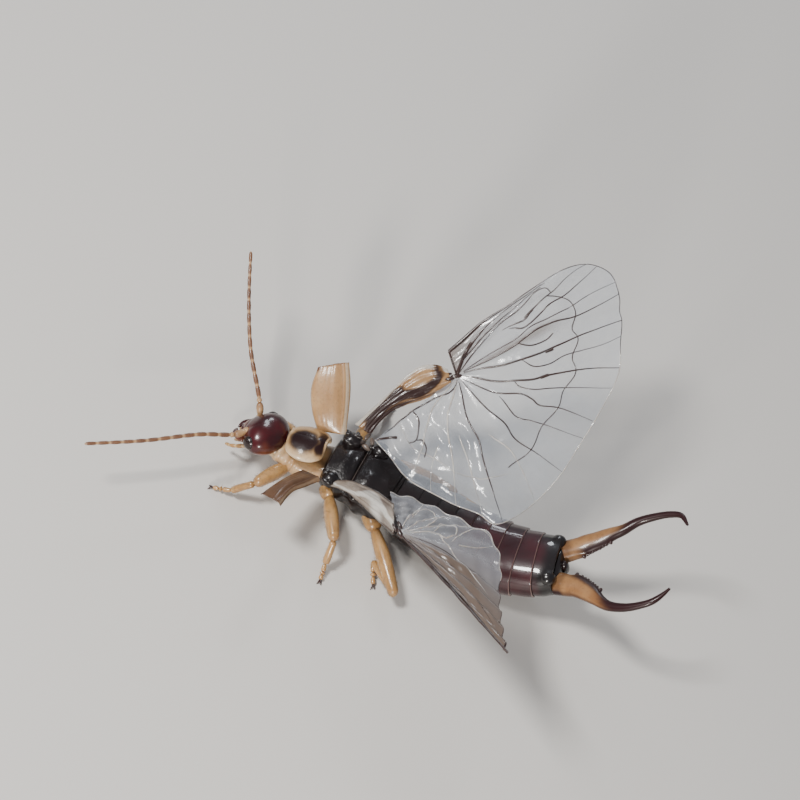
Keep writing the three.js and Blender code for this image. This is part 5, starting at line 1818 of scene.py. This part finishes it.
RIGHT_HUB = (-1.2, -4.37, 4.22)
LEFT_HUB = (-2.2, 3.22, 4.12)
RIGHT_RAYS = (
    (0.042, 0.05, 0.062, 0.088, 0.137), (0.117, 0.134, 0.16, 0.195, 0.215),
        (0.283, 0.293, 0.314, 0.327, 0.337),
    (0.39, 0.401, 0.4, 0.379, 0.371), (0.488, 0.492, 0.47, 0.447, 0.443),
        (0.566, 0.561, 0.531, 0.533, 0.536),
    (0.648, 0.648, 0.638, 0.636, 0.627), (0.751, 0.765, 0.745, 0.75, 0.751),
        (0.848, 0.866, 0.853, 0.834, 0.829),
    (0.93, 0.942, 0.931, 0.912, 0.907),
)
LEFT_RAYS = tuple((u, u) for u in (0.06, 0.15, 0.25, 0.34, 0.44, 0.54, 0.64, 0.74, 0.84, 0.93))
RIGHT_VEINS: tuple[Vein, ...] = (
    (0.075, ((0.03, 0.02), (0.045, 0.2), (0.05, 0.35), (0.058, 0.5), (0.066, 0.62))),
    (0.045, ((0.045, 0.23), (0.06, 0.42), (0.077, 0.63), (0.098, 0.84), (0.13, 0.93), (0.165, 0.92),
             (0.196, 0.92))),
    (0.036, ((0.06, 0.3), (0.085, 0.42), (0.105, 0.61), (0.13, 0.76), (0.17, 0.82), (0.2, 0.86))),
    (0.034, ((0.117, 0.05), (0.12, 0.3), (0.15, 0.55), (0.193, 0.61), (0.2, 0.7), (0.196, 0.81),
             (0.215, 0.82), (0.25, 0.73))),
    (0.034, ((0.22, 0.42), (0.265, 0.48), (0.253, 0.58), (0.248, 0.68), (0.25, 0.76), (0.245, 0.86),
             (0.247, 0.94), (0.253, 1.0))),
    (0.05, ((0.262, 0.5), (0.257, 0.54), (0.254, 0.58))),
    (0.034, ((0.25, 0.41), (0.285, 0.43), (0.29, 0.48), (0.283, 0.56), (0.276, 0.64), (0.28, 0.73),
             (0.275, 0.86), (0.27, 1.0))),
    (0.028, ((0.31, 0.71), (0.307, 0.84), (0.31, 1.0))),
    (0.07, ((0.392, 0.54), (0.389, 0.59))),
    (0.065, ((0.466, 0.53), (0.457, 0.575))),
    (0.026, ((0.29, 0.04), (0.3, 0.2), (0.31, 0.36), (0.3, 0.47), (0.306, 0.58), (0.31, 0.71))),
    (0.038, ((0.315, 0.04), (0.335, 0.17), (0.335, 0.27), (0.33, 0.36), (0.318, 0.49), (0.322, 0.6),
             (0.333, 0.73), (0.333, 0.87), (0.33, 1.0))),
    (0.03, ((0.325, 0.37), (0.355, 0.45), (0.357, 0.54), (0.347, 0.59))),
    (0.042, ((0.357, 0.04), (0.4, 0.23), (0.398, 0.38), (0.39, 0.53), (0.384, 0.6), (0.376, 0.73),
             (0.372, 0.86), (0.37, 1.0))),
    (0.026, ((0.4, 0.4), (0.427, 0.47), (0.426, 0.56), (0.41, 0.65), (0.405, 0.75), (0.401, 0.88),
             (0.393, 1.0))),
    (0.042, ((0.47, 0.04), (0.497, 0.22), (0.482, 0.38), (0.472, 0.49), (0.458, 0.57), (0.448, 0.7),
             (0.443, 0.82), (0.443, 1.0))),
    (0.026, ((0.485, 0.38), (0.502, 0.43), (0.503, 0.52), (0.491, 0.62), (0.482, 0.76), (0.475, 1.0))),
    (0.034, ((0.566, 0.04), (0.561, 0.28), (0.529, 0.45), (0.533, 0.55), (0.542, 0.62), (0.533, 0.75),
             (0.536, 1.0))),
    (0.026, ((0.566, 0.34), (0.597, 0.5), (0.585, 0.62), (0.575, 0.75), (0.566, 1.0))),
    (0.032, ((0.648, 0.04), (0.648, 0.28), (0.636, 0.47), (0.646, 0.6), (0.634, 0.78), (0.627, 1.0))),
    (0.034, ((0.751, 0.04), (0.765, 0.26), (0.743, 0.44), (0.749, 0.6), (0.751, 1.0))),
    (0.036, ((1.0, 0.54), (0.965, 0.55), (0.945, 0.61), (0.935, 0.69), (0.945, 0.76))),
    (0.032, ((0.935, 0.69), (0.92, 0.65), (0.905, 0.68), (0.9, 0.76))),
    (0.11, ((0.998, 0.99), (0.995, 0.95), (0.985, 0.88), (0.975, 0.82))),
    (0.034, ((0.82, 0.03), (0.96, 0.25), (0.99, 0.41), (0.998, 0.54), (0.998, 0.7), (0.998, 0.89))),
)
RIGHT_PALE_VEINS: tuple[Vein, ...] = (
    (0.03, ((0.702, 0.45), (0.678, 0.58), (0.675, 0.7), (0.692, 1.0))),
    (0.034, ((0.848, 0.04), (0.871, 0.3), (0.85, 0.53), (0.836, 0.68), (0.829, 1.0))),
    (0.028, ((0.819, 0.45), (0.8, 0.6), (0.79, 0.8), (0.785, 1.0))),
    (0.032, ((0.93, 0.06), (0.951, 0.3), (0.926, 0.55), (0.914, 0.68), (0.907, 1.0))),
    (0.026, ((0.878, 0.6), (0.882, 0.75), (0.873, 1.0))),
    (0.024, ((0.7, 0.74), (0.76, 0.7), (0.82, 0.75), (0.88, 0.72), (0.94, 0.76), (0.99, 0.72))),
)
LEFT_VEINS: tuple[Vein, ...] = (
    (0.05, ((0.04, 0.05), (0.05, 0.4), (0.045, 0.7), (0.03, 1.0))),
    (0.036, ((0.12, 0.05), (0.11, 0.4), (0.1, 0.7), (0.06, 1.0))),
    (0.034, ((0.22, 0.05), (0.2, 0.4), (0.16, 0.7), (0.1, 1.0))),
    (0.03, ((0.32, 0.05), (0.3, 0.4), (0.28, 0.7), (0.24, 1.0))),
    (0.028, ((0.42, 0.05), (0.4, 0.4), (0.37, 0.7), (0.34, 1.0))),
)
LEFT_PALE_VEINS: tuple[Vein, ...] = (
    (0.034, ((0.51, 0.49), (0.6, 0.63), (0.645, 0.89), (0.615, 0.985), (0.575, 0.96), (0.525, 0.78),
             (0.5, 0.56))),
    (0.03, ((0.59, 0.31), (0.705, 0.54), (0.65, 0.6), (0.585, 0.55), (0.525, 0.42), (0.59, 0.31))),
    (0.03, ((0.87, 0.43), (0.86, 0.68), (0.82, 0.8), (0.755, 0.61), (0.705, 0.34))),
    (0.034, ((0.92, 0.05), (0.9, 0.4), (0.87, 0.7), (0.87, 1.0))),
    (0.03, ((0.8, 0.05), (0.8, 0.4), (0.775, 0.7), (0.77, 1.0))),
    (0.03, ((0.7, 0.05), (0.69, 0.4), (0.69, 0.7), (0.69, 1.0))),
    (0.03, ((0.6, 0.05), (0.59, 0.31), (0.43, 0.47), (0.34, 0.68), (0.3, 0.89))),
    (0.026, ((0.34, 0.68), (0.39, 0.86), (0.37, 1.0))),
)

WINGS = (
    WingCase(
        "right", ((2.72, -0.74, 1.92), (3.18, -1.06, 2.4), (3.63, -1.71, 2.88), (3.75, -2.41, 3.37)),
        ((1.62, -0.98, 2.16), (1.99, -1.85, 2.84), (2.35, -2.5, 3.32), (2.77, -3.03, 3.72)), 0.14,
    ),
    WingCase(
        "left", ((2.44, 1.2, 1.88), (2.66, 1.69, 2.06), (2.92, 2.47, 2.35), (3.21, 3.49, 2.72)),
        ((1.6, 1.3, 2.08), (1.9, 2.0, 2.32), (2.2, 2.66, 2.6),
         (2.31, 3.69, 2.99)), 0.14, finish=SHADED_CASE,
    ),
    WingBase(
        "right",
        ((1.5, -1.5, 2.34), (1.32, -1.9, 2.61), (1.07, -2.44, 2.97), (0.83, -2.97, 3.32),
         (0.57, -3.62, 3.76),
         (0.22, -4.13, 4.09), (-0.31, -4.39, 4.26), (-0.76, -4.42, 4.27)),
        ((0.81, -1.43, 2.28), (0.69, -1.95, 2.63), (0.48, -2.4, 2.93), (0.1, -2.78, 3.18),
         (-0.32, -3.1, 3.38),
         (-0.71, -3.45, 3.61), (-1.0, -3.75, 3.81), (-1.16, -4.06, 4.02)),
        0.1, hub=RIGHT_HUB,
    ),
    WingBase(
        "left",
        ((1.15, 1.22, 1.85), (0.5, 1.5, 2.42), (-0.32, 2.04, 2.93), (-1.23, 2.66, 3.37),
         (-1.98, 3.15, 3.8)),
        ((0.99, 1.18, 2.3), (0.47, 1.35, 2.95), (-0.27, 1.72, 3.67), (-0.86, 2.05, 4.14),
         (-1.48, 2.43, 4.5)),
        0.08, hub=LEFT_HUB, painted_sheen=True,
    ),
    WingFan(
        "right", RIGHT_HUB,
        ((-0.5, -4.95, 4.64), (-0.72, -5.35, 4.95), (-1.17, -6.3, 5.62), (-1.84, -7.2, 6.2),
         (-2.69, -8.53, 7.08),
         (-3.84, -9.55, 7.68), (-4.7, -9.7, 7.62), (-5.35, -9.2, 7.3), (-6.2, -8.05, 6.5),
         (-6.82, -6.6, 5.62),
         (-6.76, -4.87, 4.77), (-6.55, -2.94, 3.77), (-6.08, -1.24, 3.1), (-5.13, 0.1, 2.8),
         (-4.4, 0.02, 2.75),
         (-2.34, 0.05, 2.65), (-1.1, -0.2, 2.6), (-0.1, -0.8, 2.5), (0.5, -1.25, 2.32)),
        RIGHT_RAYS, RIGHT_VEINS, RIGHT_PALE_VEINS, camber=0.25, pleat=0.06,
        haze=(1.0, 0.5, 0.24, 0.16, 0.05, 0.05, 0.08, 0.12, 0.2, 0.3), finish=CLEAR_WING,
    ),
    WingFan(
        "left", LEFT_HUB,
        ((-7.65, 7.1, 6.3), (-7.2, 5.8, 5.4), (-6.55, 3.9, 4.3), (-5.9, 2.0, 3.75), (-5.14, 1.05, 3.45),
         (-3.87, 0.98, 3.35), (-2.7, 0.9, 3.25), (-1.8, 1.15, 3.45), (-1.1, 1.55, 3.72)),
        LEFT_RAYS, LEFT_VEINS, LEFT_PALE_VEINS, camber=0.3, pleat=0.07,
        haze=(1.0, 1.0, 0.95, 0.8, 0.35, 0.12, 0.1, 0.1, 0.14, 0.2), finish=FOLDED_WING,
        ring_span=None, crumple=0.035, edge_thick=0.03,
    ),
)


# The studio


def set_up(owner: Union[bpy.types.World, bpy.types.Material], name: str, inputs: dict) -> None:
    """Turns on the nodes of a new world or material and sets the inputs of the one by this name."""
    owner.use_nodes = True
    Tree(owner.node_tree).feed(owner.node_tree.nodes[name], inputs)


def posed(thing: Thing, at: Points, *axes: Points) -> Thing:
    """Turns an object to three axes and moves it to a point.

    Args:
        thing: The object.
        at: The point, in millimetres.
        *axes: Its own x, y and z directions.

    Returns:
        The same object.
    """
    turn = np.eye(4)
    turn[:3] = np.stack([*axes, (at + SHIFT) * MM], 1)
    thing.matrix_world = Matrix(turn.tolist())
    return thing


@dataclass(frozen=True)
class Lamp:
    """A soft round lamp that faces the animal, placed by the picture's right, its top and the camera."""

    name: str
    place: Place
    size: float
    power: float
    tone: Colour

    def build(self, axes: tuple[Points, Points, Points]) -> None:
        """Builds the lamp.

        Args:
            axes: The picture's right, its up and the direction towards the camera.
        """
        data = bpy.data.lights.new(self.name, "AREA")
        data.shape = "DISK"
        data.size = self.size * MM
        data.energy = self.power
        data.color = self.tone
        at = sum(axis * far for axis, far in zip(axes, self.place))
        z = unit(at)
        x = unit(np.cross(UP, z))
        posed(linked(self.name, data), at, x, np.cross(z, x), z)


@dataclass
class Studio:
    """The camera at the photo's angle, a plain pale floor and soft lights."""

    azimuth: float = 98.0
    elevation: float = 54.0
    roll: float = 20.0
    distance: float = 90.0
    pixels_per_mm: float = 26.0
    target: Place = (0.0, 0.0, 2.0)
    target_pixel: tuple[float, float] = (372.0, 474.0)
    frame_pixels: float = 800.0
    sensor: float = 36.0
    sky: Colour = (0.86, 0.9, 1.0)
    sky_strength: float = 0.33
    floor_half: float = 0.6
    floor: Colour = (0.62, 0.6, 0.57)
    floor_roughness: float = 0.7
    lamps: tuple[Lamp, ...] = (
        Lamp("key", (-32.0, 54.0, 78.0), 22.0, 0.1, (1.0, 0.98, 0.95)),
        Lamp("low", (-19.0, -51.0, 84.0), 14.0, 0.085, (1.0, 0.95, 0.88)),
        Lamp("rim", (20.0, 90.0, -5.0), 20.0, 0.015, (0.9, 0.95, 1.0)),
    )

    def axes(self) -> tuple[Points, Points, Points]:
        """The picture's axes.

        Returns:
            The picture's right, its up and the direction towards the camera.
        """
        a, e, w = (math.radians(v) for v in (self.azimuth, self.elevation, self.roll))
        back = np.array([math.cos(e) * math.cos(a), math.cos(e) * math.sin(a), math.sin(e)])
        right = unit(np.cross(UP, back))
        top = np.cross(back, right)
        return math.cos(w) * right + math.sin(w) * top, -math.sin(w) * right + math.cos(w) * top, back

    def camera(self) -> None:
        """Places the camera so that the target falls on its pixel."""
        right, top, back = self.axes()
        focal = self.pixels_per_mm * self.distance
        off = (np.array(self.target_pixel) - self.frame_pixels / 2) * [1, -1] / focal
        eye = np.array(self.target) + self.distance * (back - off[0] * right - off[1] * top)
        data = bpy.data.cameras.new("camera")
        data.sensor_width = self.sensor
        data.lens = self.sensor * focal / self.frame_pixels
        data.clip_start, data.clip_end = 0.001, 10.0
        bpy.context.scene.camera = posed(linked("camera", data), eye, right, top, back)

    def ground(self) -> None:
        """Builds the floor."""
        s = self.floor_half
        mesh = bpy.data.meshes.new("floor")
        mesh.from_pydata([(-s, -s, 0), (s, -s, 0), (s, s, 0), (-s, s, 0)], [], [(0, 1, 2, 3)])
        mesh.materials.append(bpy.data.materials.new("pale_floor"))
        tones = {"Base Color": (*self.floor, 1.0), "Roughness": self.floor_roughness}
        set_up(mesh.materials[0], "Principled BSDF", tones)
        linked("floor", mesh)

    def build(self) -> None:
        """Builds the floor, the lamps, the surrounding light and the camera."""
        world = bpy.context.scene.world = bpy.data.worlds.new("studio")
        set_up(world, "Background", {"Color": (*self.sky, 1.0), "Strength": self.sky_strength})
        self.ground()
        for lamp in self.lamps:
            lamp.build(self.axes())
        self.camera()


def main() -> None:
    """Builds the animal over its frame."""
    logging.basicConfig(level=logging.INFO, format="%(message)s")
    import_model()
    Studio().build()
    abdomen = Abdomen()
    forceps = Forceps(BODY_LINE.at(abdomen.end)[0])
    for part in (Head(), Forebody(), Thorax(), abdomen, forceps, *LEGS, *WINGS):
        part.build()
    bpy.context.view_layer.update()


if __name__ == "__main__":
    main()
